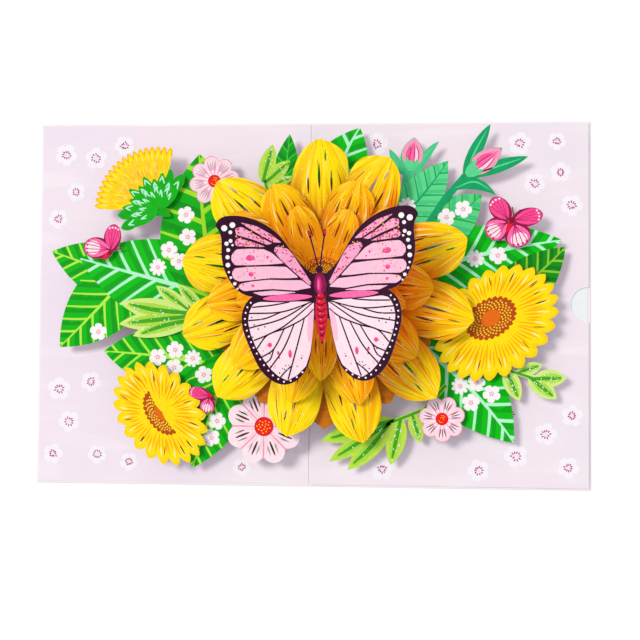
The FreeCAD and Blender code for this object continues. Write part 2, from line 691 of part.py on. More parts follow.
disc = doc.addObject("Part::Cylinder", "flower_disc")
disc.Label = "flower_disc"
disc.setExpression("Radius", "Sizes.disc_radius")
disc.setExpression("Height", "Sizes.card_thickness")
disc.setExpression("Placement.Base.x", "Sizes.flower_x")
disc.setExpression("Placement.Base.y", "Sizes.flower_y")
disc.setExpression("Placement.Base.z", "Sizes.flower_height + 4 * Sizes.card_thickness")
SUB_PARTS.append(disc)

# The butterfly: a folded wing sheet on a tall riser, with the body sheet glued on top

riser("butterfly_riser",
      "Sizes.butterfly_x - Sizes.butterfly_lean - Sizes.thorax_half_width"
      " + Sizes.butterfly_riser_inset",
      "Sizes.butterfly_lean", "Sizes.flower_height + 5 * Sizes.card_thickness",
      "Sizes.butterfly_height", "Sizes.butterfly_y + Sizes.butterfly_riser_length",
      "Sizes.butterfly_riser_length", "Sizes.tab_foot")

FORE_EDGE = [(12.2, 18.4), (20.2, 29.9), (33, 38.4), (42, 40.4), (49.4, 39), (51.5, 35.3)]
FORE_MARGIN = [(49, 29.5), (49.2, 21), (46.8, 9.7), (40.5, 1.2), (34.5, -1.2)]
HIND_MARGIN = [(39.8, -8), (40.5, -15), (36.8, -28), (31, -40), (20, -46.4), (9.6, -39.8),
               (5.6, -23.8)]


def smooth(points):
    curve = Part.BSplineCurve()
    curve.interpolate([spot(*point) for point in points])
    return curve.toShape()


def wing_face(crease, top, bottom):
    """One side's two wings, right of the crease line."""
    root = (crease, top)
    foot = (crease, bottom)
    return Part.Face(Part.Wire([
        smooth([root] + FORE_EDGE), smooth([FORE_EDGE[-1]] + FORE_MARGIN),
        smooth([FORE_MARGIN[-1]] + HIND_MARGIN + [foot]),
        Part.LineSegment(spot(*foot), spot(*root)).toShape()]))


def wing_sheet():
    crease = size("thorax_half_width") + size("wing_crease_margin")
    top = size("wing_root_above")
    bottom = -size("wing_root_below")
    right = raised(wing_face(crease, top, bottom), 0.0)
    right.rotate(spot(crease, 0), spot(0, 1, 0), -size("butterfly_lift"))
    left = right.mirror(spot(0, 0), spot(1, 0, 0))
    middle = Part.makeBox(2 * crease, top - bottom, SHEET, spot(-crease, bottom))
    return middle.fuse([left, right]).removeSplitter()


butterfly_place = FreeCAD.Placement(
    spot(size("butterfly_x"), size("butterfly_y"), size("butterfly_height")),
    FreeCAD.Rotation(spot(0, 0, 1), size("butterfly_turn")))
add_sheet("butterfly_wings", wing_sheet(), butterfly_place)

body_faces = [
    blade((0, -4), (0, 10), 2 * size("thorax_half_width"), base_width=4.5, roundness=0.9),
    blade((0, 1), (-0.4, -27.3), 6.6, base_width=4.0, roundness=0.1),
    disc_face((0, 11), 1.9),
    strip_face((-0.5, 12), (-1.9, 19), 0.8),
    strip_face((-1.8, 18.6), (-4.3, 30), 0.8),
    blade((-3.6, 27), (-4.6, 31), 1.6, base_width=0.8, roundness=0.9),
    strip_face((0.5, 12), (1.6, 19), 0.8),
    strip_face((1.5, 18.6), (3.8, 30), 0.8),
    blade((3.2, 27.4), (4.0, 31.6), 1.6, base_width=0.8, roundness=0.9),
]
add_sheet("butterfly_body", one_sheet(body_faces, SHEET), butterfly_place)

doc.recompute()
for item in doc.Objects:
    if "Invalid" in item.State or "Error" in item.State:
        raise ValueError("%s did not compute: %s" % (item.Label, item.State))
os.makedirs("parts", exist_ok=True)
for item in SUB_PARTS:
    shape = item.Shape
    if shape.isNull() or not shape.isValid():
        raise ValueError("%s has no valid shape" % item.Label)
    if len(shape.Solids) != 1:
        raise ValueError("%s has %d solids" % (item.Label, len(shape.Solids)))
    shape.exportStep("parts/%s.step" % item.Label)
    print("%-24s %8.1f mm3" % (item.Label, shape.Volume))
print(len(SUB_PARTS), "pieces")
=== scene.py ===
# %% [markdown]
# A pop-up card, open on a table and seen from above. Its sheets of coated card come from the
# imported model: cover, pocket, leaves, sprigs, side flowers and the butterfly's two sheets. This
# lesson prints them. It also shapes the large flower's cupped petals again, because real petals
# are one smooth curve where the construction model folds them along straight lines.

# %% Load the frame
import math
import random

import bmesh
import bpy
from mathutils import Matrix, Vector


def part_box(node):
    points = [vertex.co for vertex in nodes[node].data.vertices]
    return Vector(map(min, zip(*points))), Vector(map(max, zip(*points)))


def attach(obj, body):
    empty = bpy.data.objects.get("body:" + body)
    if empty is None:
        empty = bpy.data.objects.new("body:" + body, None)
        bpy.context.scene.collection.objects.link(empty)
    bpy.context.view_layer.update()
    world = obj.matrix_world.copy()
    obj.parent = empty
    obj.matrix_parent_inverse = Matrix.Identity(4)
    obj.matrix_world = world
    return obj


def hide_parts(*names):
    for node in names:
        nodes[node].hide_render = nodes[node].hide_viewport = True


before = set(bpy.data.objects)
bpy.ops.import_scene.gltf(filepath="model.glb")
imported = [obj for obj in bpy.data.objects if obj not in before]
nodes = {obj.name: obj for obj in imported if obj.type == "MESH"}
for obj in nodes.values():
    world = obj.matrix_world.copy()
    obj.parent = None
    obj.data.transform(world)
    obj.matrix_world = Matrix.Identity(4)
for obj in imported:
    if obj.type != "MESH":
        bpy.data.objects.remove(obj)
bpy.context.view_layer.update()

MM = 0.001

# %% [markdown]
# Colours are written as the hex values a printer would quote. Blender works with linear light,
# so one function turns a hex value into linear numbers. Another adds a node with its settings
# and links; it takes a colour as hex, a number, or another node to link from.


# %% Colours and nodes
def linear(hex_colour):
    """The linear red, green, blue and alpha of an sRGB hex value."""
    parts = [int(hex_colour[index:index + 2], 16) / 255 for index in (1, 3, 5)]
    return [part / 12.92 if part <= 0.04045 else ((part + 0.055) / 1.055) ** 2.4
            for part in parts] + [1.0]


def add(tree, kind, settings=None, inputs=None):
    """Adds one node. An input is a hex colour, a number, a list, a socket or another node."""
    node = tree.nodes.new("ShaderNode" + kind)
    for name, value in (settings or {}).items():
        setattr(node, name, value)
    for key, value in (inputs or {}).items():
        if isinstance(key, int):
            socket = node.inputs[key]
        else:
            socket = next(item for item in node.inputs if item.enabled and item.name == key)
        if isinstance(value, bpy.types.Node):
            value = next(item for item in value.outputs if item.enabled)
        if isinstance(value, bpy.types.NodeSocket):
            tree.links.new(value, socket)
        else:
            socket.default_value = linear(value) if isinstance(value, str) else value
    return node


def start_material(name):
    material = bpy.data.materials.new(name)
    material.use_nodes = True
    material.node_tree.nodes.clear()
    return material, material.node_tree


# %% [markdown]
# Every sheet is coated card: china clay rolled smooth over wood fibre, which gives a soft sheen
# and a very fine tooth. The print lies only on the face, and a cut edge and the back show the
# white core. Two materials a sheet could do that, but one is simpler: it takes the print where
# the surface looks up and the core elsewhere. A print is a ground colour with further colours
# laid over it, each where its share says.

# %% Coated card
CARD_SHEEN = 0.55
CARD_GLOSS = 0.12
CARD_CORE = "#efe9e6"
FACES_UP = 0.3
FIBRE = 0.35 * MM
FIBRE_DEPTH = 0.012 * MM


def coat(tree, colour, layers=()):
    """Ends a material as coated card, printed with a ground colour and the layers over it."""
    for share, layer in layers:
        colour = add(tree, "Mix", {"data_type": "RGBA"}, {"Factor": share, "A": colour, "B": layer})
    place = add(tree, "TexCoord")
    facing = add(tree, "SeparateXYZ", inputs={0: place.outputs["Normal"]})
    printed = add(tree, "Math", {"operation": "GREATER_THAN"}, {0: facing.outputs["Z"],
                                                                1: FACES_UP})
    shown = add(tree, "Mix", {"data_type": "RGBA"}, {"Factor": printed, "A": CARD_CORE,
                                                     "B": colour})
    tooth = add(tree, "TexNoise", inputs={"Vector": place.outputs["Object"],
                                          "Scale": 1 / FIBRE, "Detail": 3.0})
    bump = add(tree, "Bump", inputs={"Strength": 0.5, "Distance": FIBRE_DEPTH, "Height": tooth})
    shader = add(tree, "BsdfPrincipled", inputs={
        "Base Color": shown, "Roughness": CARD_SHEEN, "Specular IOR Level": CARD_GLOSS,
        "Normal": bump})
    add(tree, "OutputMaterial", inputs={"Surface": shader})


def paint(node, material):
    """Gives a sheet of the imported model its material."""
    mesh = nodes[node].data
    mesh.materials.clear()
    mesh.materials.append(material)


def make_piece(name, bm, materials):
    """Turns a finished mesh into a piece that rides on the card."""
    piece = bpy.data.objects.new(name, bpy.data.meshes.new(name))
    bm.to_mesh(piece.data)
    bm.free()
    for material in materials:
        piece.data.materials.append(material)
    bpy.context.scene.collection.objects.link(piece)
    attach(piece, "card")
    print(piece.name, len(piece.data.polygons), "faces")
    return piece


# %% [markdown]
# Flat inks are never quite flat: a brush left streaks in the artwork, and the paper takes ink
# unevenly. A scan of real paper could show that, but an ink here is two close colours mixed by a
# noise, which needs no picture. Stretched along one direction, its streaks run as the brush ran.


# %% Inks
def ink(name, colour, streak, size=3.0, stretch=(1, 1, 1), turn=0.0, amount=0.6):
    """A printed colour with brush streaks of a second colour, size in mm."""
    material, tree = start_material(name)
    place = add(tree, "TexCoord")
    turned = add(tree, "Mapping", inputs={"Vector": place.outputs["Object"],
                                          "Rotation": (0, 0, math.radians(turn)),
                                          "Scale": stretch})
    cloud = add(tree, "TexNoise", inputs={"Vector": turned, "Scale": 1 / (size * MM),
                                          "Detail": 4.0, "Roughness": 0.6})
    share = add(tree, "MapRange", inputs={"Value": cloud, "From Min": 0.35, "From Max": 0.7,
                                          "To Max": amount})
    coat(tree, colour, [(share, streak)])
    return material


# %% [markdown]
# The panels are printed in pale lilac with broad, faint brush strokes and deeper clouds. The
# strokes are noise stretched along a slant, the clouds a second noise of larger scale, because
# one noise alone looks like marble. Glue strips, risers, tabs and props are plain white card.

# %% Cover, liners and pocket
def panel_print(name, ground, stroke_colour, shade, slant):
    """A ground colour under slanting brush strokes and clouds of a shade."""
    material, tree = start_material(name)
    place = add(tree, "TexCoord")
    broad = add(tree, "Mapping", inputs={"Vector": place.outputs["Object"],
                                         "Rotation": (0, 0, math.radians(slant)),
                                         "Scale": (0.35, 1.6, 1)})
    brush = add(tree, "TexNoise", inputs={"Vector": broad, "Scale": 1 / (22 * MM),
                                          "Detail": 5.0, "Distortion": 0.6})
    light = add(tree, "MapRange", inputs={"Value": brush, "From Min": 0.5, "From Max": 0.68,
                                          "To Max": 0.75})
    cloud = add(tree, "TexNoise", inputs={"Vector": place.outputs["Object"],
                                          "Scale": 1 / (60 * MM), "Detail": 2.0})
    deep = add(tree, "MapRange", inputs={"Value": cloud, "From Min": 0.45, "From Max": 0.7,
                                         "To Max": 0.7})
    coat(tree, ground, [(light, stroke_colour), (deep, shade)])
    return material


paint("cover", panel_print("cover board, lilac", "#f3eef4", "#f7f3f8", "#ebe6f0", 20))
paint("left_liner", panel_print("liner print, left", "#efe5ef", "#f5eff6", "#e9e1f0", 25))
paint("pocket_liner", panel_print("liner print, right", "#efe6ef", "#f5f0f6", "#e8e1ec", -20))
plain_card = ink("plain white card", "#f2eef0", "#e9e4e8", size=1.0)
paint("note_card", ink("note card, pale blue", "#eef4f7", "#e6eef3", size=4.0))
for name in nodes:
    if any(word in name for word in ("strip", "riser", "tab", "prop")):
        paint(name, plain_card)
paint("platform", ink("platform print, deep green", "#0b7a1c", "#06641a", size=6.0))

# %% [markdown]
# A printed leaf has a midrib from base to tip and side veins that slant forward. Both follow
# from where a point lies in the leaf's own measure: along it from 0 to 1 and across it in the
# same units. A Mapping node set to Texture turns the place on the table into that measure. Drawn
# strokes could be laid on each leaf instead, but so one function prints every leaf of the card.

# %% Leaves
# leaf: base, tip and bow of its midrib in mm
LEAVES = {
    "leaf_far_left": ((-80, 6), (-143, 28), 0),
    "leaf_low_left": ((-92, 24), (-137.6, -24.8), 1),
    "leaf_broad_left": ((-38, 0), (-127, 24), 0),
    "leaf_upright_left": ((-50, -2), (-61, 81.5), 3),
    "leaf_lower_left": ((-42, -36), (-113, -27), -2),
    "leaf_bottom_left": ((-42, -26), (-63, -90), 0),
    "leaf_dark_top": ((-14, 48), (-11.3, 92.5), 1),
    "leaf_top_right": ((13, 50), (27, 95.8), 5),
    "leaf_mint_right": ((42, 38), (74.7, 77.2), -2),
    "leaf_pale_right": ((58, 32), (92.8, 59), -2),
    "leaf_broad_right": ((50, 14), (136, 34.3), 3),
    "leaf_dark_right": ((88, -10), (137.5, 30.6), -3),
    "leaf_bottom_right": ((50, -16), (110.3, -74.5), 6),
}
# green, shade green, vein, midrib width, vein width, vein pitch in mm, slant
MINT_VEINS = ("#02be0e", "#00a412", "#b4f7d0", 3.0, 2.3, 11.0, 0.75)
LIME_VEINS = ("#02b80e", "#009c0e", "#b2ee4a", 2.2, 1.7, 9.5, 0.8)
LEAF_PRINTS = {
    "leaf_far_left": LIME_VEINS,
    "leaf_low_left": LIME_VEINS,
    "leaf_broad_left": MINT_VEINS,
    "leaf_upright_left": ("#02b00e", "#009410", "#a4e02a", 3.0, 2.9, 14.0, 0.45),
    "leaf_lower_left": LIME_VEINS,
    "leaf_bottom_left": LIME_VEINS,
    "leaf_dark_top": ("#06a318", "#028a1c", "#3ecb3a", 1.3, 0.9, 8.0, 0.8),
    "leaf_top_right": MINT_VEINS,
    "leaf_mint_right": ("#5fdc8c", "#46cf86", "#12a468", 1.5, 1.1, 7.5, 0.7),
    "leaf_pale_right": ("#58d486", "#3fc77f", "#1fae3f", 1.6, 1.4, 9.0, 0.7),
    "leaf_broad_right": MINT_VEINS,
    "leaf_dark_right": ("#0a8f14", "#067a12", "#8cc832", 2.2, 1.6, 8.0, 0.8),
    "leaf_bottom_right": MINT_VEINS,
}


def leaf_print(node, base, tip, bow, green, shade, vein, rib_width, vein_width, pitch, slant):
    """Midrib, slanting side veins and darker strokes beside them, in the leaf's own measure."""
    length = math.hypot(tip[0] - base[0], tip[1] - base[1])
    material, tree = start_material(node.replace("_", " ") + " print")
    place = add(tree, "TexCoord")
    along_leaf = add(tree, "Mapping", {"vector_type": "TEXTURE"}, {
        "Vector": place.outputs["Object"],
        "Location": (base[0] * MM, base[1] * MM, 0),
        "Rotation": (0, 0, math.atan2(tip[1] - base[1], tip[0] - base[0])),
        "Scale": (length * MM, length * MM, 1)})
    axis = add(tree, "SeparateXYZ", inputs={0: along_leaf})
    streaks = add(tree, "Mapping", inputs={"Vector": along_leaf, "Rotation": (0, 0, -0.5),
                                           "Scale": (1.0, 3.0, 1.0)})
    brush = add(tree, "TexNoise", inputs={"Vector": streaks, "Scale": length / 9.0,
                                          "Detail": 3.0})
    values = {"along": axis.outputs["X"], "across": axis.outputs["Y"], "brush": brush}
    for result, operation, *terms in (
            ("left", "SUBTRACT", 1.0, "along"),
            ("arch", "MULTIPLY", "along", "left"),
            ("offset", "MULTIPLY", "arch", 3.0 * bow / length),
            ("side", "SUBTRACT", "across", "offset"),
            ("out", "ABSOLUTE", "side"),
            ("rib", "MULTIPLY_ADD", "left", 0.5 * rib_width / length, 0.12 * rib_width / length),
            ("on_rib", "LESS_THAN", "out", "rib"),
            ("hand", "SIGN", "side"),
            ("curve", "POWER", "out", 0.9),
            ("forward", "MULTIPLY", "curve", slant),
            ("root", "SUBTRACT", "along", "forward"),
            ("staggered", "MULTIPLY_ADD", "hand", 0.2 * pitch / length, "root"),
            ("phase", "MULTIPLY", "staggered", length / pitch),
            ("step", "FRACT", "phase"),
            ("centred", "SUBTRACT", "step", 0.5),
            ("from_vein", "ABSOLUTE", "centred"),
            ("thinning", "MULTIPLY", "out", 1.1 * vein_width / pitch),
            ("vein_edge", "SUBTRACT", 0.55 * vein_width / pitch, "thinning"),
            ("on_vein", "LESS_THAN", "from_vein", "vein_edge"),
            ("inked", "MAXIMUM", "on_rib", "on_vein"),
            ("wobble", "MULTIPLY_ADD", "brush", 0.7, -0.35),
            ("shade_line", "ADD", "step", "wobble")):
        values[result] = add(tree, "Math", {"operation": operation}, {
            number: values.get(term, term) for number, term in enumerate(terms)})
    shaded = add(tree, "MapRange", inputs={"Value": values["shade_line"], "From Min": 0.62,
                                           "From Max": 0.7})
    coat(tree, green, [(shaded, shade), (values["inked"], vein)])
    return material


for node, outline in LEAVES.items():
    paint(node, leaf_print(node, *outline, *LEAF_PRINTS[node]))
print(len(LEAVES), "leaves printed")

# %% [markdown]
# The sprigs, buds, side flowers and small butterflies have drawings with many small marks. A
# material could hold a simple one, but marks as fine as these are easier to draw as shapes. So
# these sheets get a plain printed ground here, and their drawing is laid over it further down.

# %% Grounds of the small pieces
SPRAY_TOP = 12.4
CALYX = Vector((-82.0, 50.0))
CALYX_REACH = 24.0


def calyx_print(name):
    """Green round the calyx and yellow further out, so that both reach the sheet's edge."""
    material, tree = start_material(name)
    place = add(tree, "TexCoord")
    far = add(tree, "VectorMath", {"operation": "DISTANCE"}, {
        0: place.outputs["Object"], 1: (CALYX.x * MM, CALYX.y * MM, SPRAY_TOP * MM)})
    beyond = add(tree, "Math", {"operation": "GREATER_THAN"}, {0: far.outputs["Value"],
                                                               1: CALYX_REACH * MM})
    cloud = add(tree, "TexNoise", inputs={"Vector": place.outputs["Object"],
                                          "Scale": 1 / (3 * MM), "Detail": 3.0})
    green, yellow = (add(tree, "Mix", {"data_type": "RGBA"}, {"Factor": cloud, "A": light,
                                                              "B": dark})
                     for light, dark in (("#08b418", "#04980f"), ("#ffd40e", "#f5b000")))
    coat(tree, green, [(beyond, yellow)])
    return material


GROUNDS = [
    (("sprig_bottom", "sprig_top_left"),
     ink("sprig print, lime", "#bfe650", "#a3d838", size=5.0, stretch=(1, 2, 1), turn=30)),
    (("sprig_left", "sprig_right"),
     ink("sprig print, pale lime", "#d6f08c", "#bce466", size=5.0, stretch=(1, 2, 1), turn=80)),
    (("bud_spray_small",), ink("bud spray print, pale", "#4ccf8c", "#2fb878", size=4.0)),
    (("bud_spray_tall",), ink("bud spray print, green", "#10a868", "#079458", size=4.0)),
    (("sunflower_bottom_left", "sunflower_right"),
     ink("ray petal print, yellow", "#ffdc04", "#f9bc00", size=3.0)),
    (("pink_flower_top", "pink_flower_right"),
     ink("rose petal print", "#e89fb8", "#e08fac", size=3.0)),
    (("pink_flower_bottom",), ink("rose petal print, pale", "#fce9f0", "#f8d8e4", size=4.0)),
    (("small_butterfly_left", "small_butterfly_right", "small_butterfly_low"),
     ink("small wing print, pink", "#8c1046", "#a01450", size=2.0)),
    (("butterfly_wings",), ink("wing margin print", "#28001e", "#38042e", size=4.0)),
    (("butterfly_body",), ink("body print, dark", "#3c0420", "#50082c", size=2.0)),
    (("sunflower_top_left",), calyx_print("side view sunflower print")),
    (("flower_disc",), ink("seed disc print", "#b35a06", "#96440a", size=1.2)),
    # lowest petals: their own orange, printed darker still as painted shade of the petals lying
    # over them
    (("lower_petals",), ink("lower petal print, amber and painted shade", "#cf7a0c", "#a65208", size=5.0,
                            stretch=(1.0, 2.5, 1.0))),
]
for names, material in GROUNDS:
    for name in names:
        paint(name, material)
    print(", ".join(names), "painted:", material.name)

# %% [markdown]
# The large flower has four petal sheets. The lowest is flat. The other three are cupped: each
# petal rises from a flat middle, arches across and dips at its tip. A cloth simulation could bend
# them, but a height worked out for each place gives the same dish every time. Each new sheet
# starts as a copy of the construction's sheet, so its outline and its fine slits stay. Only the
# upper face is kept, cut into small cells by planes, lifted to a smooth dish and given its
# thickness again. Each point also gets its place on its own petal, along and across, as a UV map
# for the print.

# %% Petal sheets
CARD = 0.4
FLOWER = Vector((7.6, 12.0))
REACH = Vector((8.0, 6.0))
STACK = 14.6
RIDGE = 1.2
CELL = 3.0
SAME_SPOT = 0.002 * MM
SLIVER = 0.02 * MM
HARD_EDGE = math.radians(40)
PETAL_PITCH = 4.0
# sheet: each petal's tip as an angle and a distance in mm from REACH
TIPS = {
    "lower_petals": [(78, 62), (53, 62), (30, 62), (4, 62), (-27, 64), (-59, 70), (-89, 74),
                     (-119, 69), (-149, 63), (-177, 62), (152, 62), (126, 62), (103, 62)],
    "outer_petals": [(91.6, 81.5), (63.5, 79.5), (20, 81.5), (-11, 81.7), (-43, 82.8),
                     (-74.6, 83.7), (-103.5, 79.9), (-134.5, 79.9), (-162, 78.7), (168, 77.5),
                     (134.5, 82)],
    "middle_petals": [(115, 62.2), (72, 61), (40, 60), (1, 59), (-35, 61), (-71, 63.6),
                      (-105, 62), (-139, 62), (-173, 62), (146, 66)],
    "inner_petals": [(-90, 48), (-50, 47), (-11, 45), (30, 44), (70.8, 45), (107.5, 46.7),
                     (148, 46), (-172, 46), (-131, 47)],
}
# layer in the stack, profile as (radius, height) from the flat middle out, arch, dip at the tip
SHEETS = {
    "outer_petals": (1, [(16, 0), (32, 1.5), (56, 4.5), (86, 5.0)], 1.0, 1.0),
    "middle_petals": (2, [(15, 0), (29, 4.0), (48, 8.0), (68, 9.0)], 1.0, 1.2),
    "inner_petals": (3, [(14, 0), (25, 5.0), (40, 10.0), (50, 12.0)], 0.8, 1.2),
}


def polar(centre, angle, radius):
    """A place at an angle in degrees and a distance from a centre."""
    return Vector(centre) + radius * Vector((math.cos(math.radians(angle)),
                                             math.sin(math.radians(angle))))


def rise(profile, radius):
    """The height at a radius, straight between the profile's corners."""
    spots = [(0.0, 0.0)] + profile
    for (inner, low), (outer, high) in zip(spots, spots[1:]):
        if radius <= outer:
            share = (radius - inner) / (outer - inner)
            return low + (high - low) * share
    return spots[-1][1]


def eased_rise(profile, radius, blur=5.0):
    """The mean of the profile over a few millimetres, which rounds its folds."""
    samples = [radius + blur * (step / 3.0) for step in range(-3, 4)]
    return sum(rise(profile, max(sample, 0.0)) for sample in samples) / len(samples)


def petal_axes(tips):
    """Each petal's bearing from the flower's middle and its length."""
    arms = [polar(REACH, angle, radius) - FLOWER for angle, radius in tips]
    return sorted((math.atan2(arm.y, arm.x), arm.length) for arm in arms)


def on_petal(axes, spot):
    """A place's petal: its number, the share of the way out, mm across, share of the half gap."""
    arm = spot - FLOWER
    bearing = math.atan2(arm.y, arm.x)
    turns = [(bearing - axis + math.pi) % (2 * math.pi) - math.pi for axis, length in axes]
    number = min(range(len(axes)), key=lambda item: abs(turns[item]))
    axis, length = axes[number]
    turn = turns[number]
    neighbour = axes[(number + (1 if turn > 0 else -1)) % len(axes)][0]
    half_gap = 0.5 * abs((neighbour - axis + math.pi) % (2 * math.pi) - math.pi)
    return (number, arm.length * math.cos(turn) / length, arm.length * math.sin(turn),
            turn / half_gap)


def petal_height(node, spot):
    """The height in mm of a cupped sheet's upper face at a place."""
    layer, profile, arch, dip = SHEETS[node]
    number, share, across, phase = on_petal(AXES[node], spot)
    radius = (spot - FLOWER).length
    ridge = (RIDGE * min(radius / profile[2][0], 1.0) ** 2
             * math.cos(0.5 * math.pi * min(abs(phase), 1.0)))
    droop = arch * (across / 12.0) ** 2 * min(max(share - 0.35, 0.0) / 0.3, 1.0)
    tip = dip * max(share - 0.8, 0.0) ** 2 / 0.04
    return STACK + (layer + 1) * CARD + eased_rise(profile, radius) + ridge - droop - tip


AXES = {node: petal_axes(tips) for node, tips in TIPS.items()}


def petal_half_width(share):
    """About half a petal's width in mm: narrow at the foot and the tip."""
    return 3.0 + 10.0 * math.sin(math.pi * min(max(share, 0.0), 1.0) ** 1.2)


def petal_sheet(node, material):
    """A smooth cupped sheet in place of the folded one."""
    bm = bmesh.new()
    bm.from_mesh(nodes[node].data)
    bmesh.ops.remove_doubles(bm, verts=bm.verts, dist=SAME_SPOT)
    under = [face for face in bm.faces if face.normal.z < FACES_UP]
    bmesh.ops.delete(bm, geom=under, context="FACES")
    low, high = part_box(node)
    for normal, first, last in ((Vector((1, 0, 0)), low.x, high.x),
                                (Vector((0, 1, 0)), low.y, high.y)):
        for step in range(1, int((last - first) / (CELL * MM))):
            bmesh.ops.bisect_plane(bm, geom=bm.verts[:] + bm.edges[:] + bm.faces[:],
                                   dist=0.001 * MM, plane_co=normal * (first + step * CELL * MM),
                                   plane_no=normal)
    bmesh.ops.remove_doubles(bm, verts=bm.verts, dist=SLIVER)
    for vert in bm.verts:
        vert.co.z = MM * petal_height(node, Vector(vert.co[:2]) / MM)
    uv = bm.loops.layers.uv.new("petal")
    for face in bm.faces:
        number = on_petal(AXES[node], Vector(face.calc_center_median()[:2]) / MM)[0]
        bearing, length = AXES[node][number]
        forward = Vector((math.cos(bearing), math.sin(bearing)))
        for loop in face.loops:
            arm = Vector(loop.vert.co[:2]) / MM - FLOWER
            across = forward.x * arm.y - forward.y * arm.x
            share = arm.dot(forward) / length
            loop[uv].uv = (share, across / petal_half_width(share) + PETAL_PITCH * number)
    bmesh.ops.solidify(bm, geom=bm.faces[:], thickness=CARD * MM)
    bmesh.ops.recalc_face_normals(bm, faces=bm.faces)
    for face in bm.faces:
        face.smooth = True
    for edge in bm.edges:
        edge.smooth = len(edge.link_faces) == 2 and edge.calc_face_angle() < HARD_EDGE
    piece = make_piece(node + "_cupped", bm, [material])
    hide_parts(node)


# %% [markdown]
# Petal print: bright yellow, orange at the foot, with long brush streaks that start wide at the
# foot and run together at the tip, a few brown and a few pale. Along each petal's edges near the
# foot lies an orange-brown band, partly a printed contour where one painted petal lies on the
# next and partly painted shade where the petals meet. The right side is painted deeper amber:
# painted shade standing in for the warm shadow that the butterfly casts there. Streaks could be
# drawn one by one, but noise in the petal's own measure makes hundreds at once: the UV map gives
# the way out, and the way across as a share of the petal's width, so that the streaks narrow with
# the petal. A little glitter lies over it all, its flakes painted as pale glints, a painted
# highlight.


# %% Petal print
GLITTER_PITCH = 1.7 * MM
# painted shade: the amber laid on the flower's right side for the butterfly's shadow, and how far
# out from the middle it starts and is full
SHADE_AMBER = "#ff7800"
SHADE_SIDE = (1.0, 0.0, 0.0)
SHADE_FROM = 14 * MM
SHADE_REACH = 34 * MM


def streaks(tree, place, along_scale, across_scale, low, high, offset):
    """Long brush streaks from a noise stretched along the petal, as a share from 0 to 1."""
    grain = add(tree, "Mapping", inputs={"Vector": place, "Location": (offset, offset, 0),
                                         "Scale": (along_scale, across_scale, 1.0)})
    brush = add(tree, "TexNoise", inputs={"Vector": grain, "Scale": 1.0, "Detail": 2.0,
                                          "Distortion": 0.2})
    return add(tree, "MapRange", inputs={"Value": brush, "From Min": low, "From Max": high})


def petal_print(name, yellow, deep, foot, pale, brown, foot_end):
    """A cupped petal's print; foot_end is the share of the way out where the orange ends."""
    material, tree = start_material(name)
    place = add(tree, "UVMap", {"uv_map": "petal"})
    axis = add(tree, "SeparateXYZ", inputs={0: place})
    out = axis.outputs["X"]
    side = add(tree, "Math", {"operation": "WRAP"}, {0: axis.outputs["Y"], 1: 0.5 * PETAL_PITCH,
                                                     2: -0.5 * PETAL_PITCH})
    off_axis = add(tree, "Math", {"operation": "ABSOLUTE"}, {0: side})
    broad = streaks(tree, place, 1.6, 5.0, 0.5, 0.56, 0.0)
    wave = streaks(tree, place, 1.2, 6.0, 0.3, 0.7, 2.3)
    reach = add(tree, "Math", {"operation": "MULTIPLY_ADD"}, {0: wave, 1: -0.35, 2: out})
    near_foot, shade_foot, inner = (
        add(tree, "MapRange", inputs={"Value": value, "From Min": start, "From Max": end,
                                      "To Min": 1.0, "To Max": 0.0})
        for value, start, end in ((reach, foot_end - 0.22, foot_end),
                                  (reach, foot_end - 0.1, foot_end + 0.28), (out, 0.6, 0.82)))
    # painted shade and print: an orange-brown band along each petal's edges near the foot, where
    # the petals meet
    edge = add(tree, "MapRange", inputs={"Value": off_axis, "From Min": 0.7, "From Max": 1.0,
                                         "To Max": 0.75})
    rim = add(tree, "Math", {"operation": "MULTIPLY"}, {0: edge, 1: inner})
    spot = add(tree, "TexCoord")
    from_middle = add(tree, "VectorMath", {"operation": "SUBTRACT"}, {
        0: spot.outputs["Object"], 1: (FLOWER.x * MM, FLOWER.y * MM, 0)})
    towards = add(tree, "VectorMath", {"operation": "DOT_PRODUCT"}, {0: from_middle, 1: SHADE_SIDE})
    # painted shade: amber that grows towards the flower's right side, near the petals' feet
    shade_side = add(tree, "MapRange", inputs={
        "Value": towards.outputs["Value"], "From Min": SHADE_FROM, "From Max": SHADE_REACH,
        "To Max": 0.85})
    painted_shade = add(tree, "Math", {"operation": "MULTIPLY"}, {0: shade_side, 1: shade_foot})
    fine_brown = streaks(tree, place, 3.2, 11.0, 0.635, 0.655, 5.1)
    fine_pale = streaks(tree, place, 2.6, 14.0, 0.645, 0.67, 8.7)
    # painted highlight: glitter flakes given a fixed pale colour as glints
    flakes = add(tree, "TexVoronoi", inputs={"Vector": spot.outputs["Object"],
                                             "Scale": 1 / GLITTER_PITCH})
    on_flake = add(tree, "Math", {"operation": "LESS_THAN"}, {0: flakes, 1: 0.13})
    picked = add(tree, "SeparateXYZ", inputs={0: flakes.outputs["Color"]})
    rare = add(tree, "Math", {"operation": "GREATER_THAN"}, {0: picked, 1: 0.8})
    glint = add(tree, "Math", {"operation": "MULTIPLY"}, {0: on_flake, 1: rare})
    coat(tree, yellow, [(broad, deep), (near_foot, foot), (rim, brown), (painted_shade, SHADE_AMBER),
                        (fine_brown, brown), (fine_pale, pale), (glint, "#fffbe0")])
    return material


# sheet: yellow, deep yellow, foot, pale streak, brown streak, where the orange foot ends
PETAL_PRINTS = {
    "outer_petals": ("#ffe600", "#fccc00", "#ec9000", "#fff6a8", "#a84404", 0.5),
    "middle_petals": ("#ffd400", "#fbae00", "#ee9400", "#fff3a0", "#a04004", 0.66),
    "inner_petals": ("#ffca08", "#f5a404", "#f29e06", "#fff0a0", "#a84604", 0.72),
}
for node, colours in PETAL_PRINTS.items():
    petal_sheet(node, petal_print(node.replace("_petals", " petal print"), *colours))

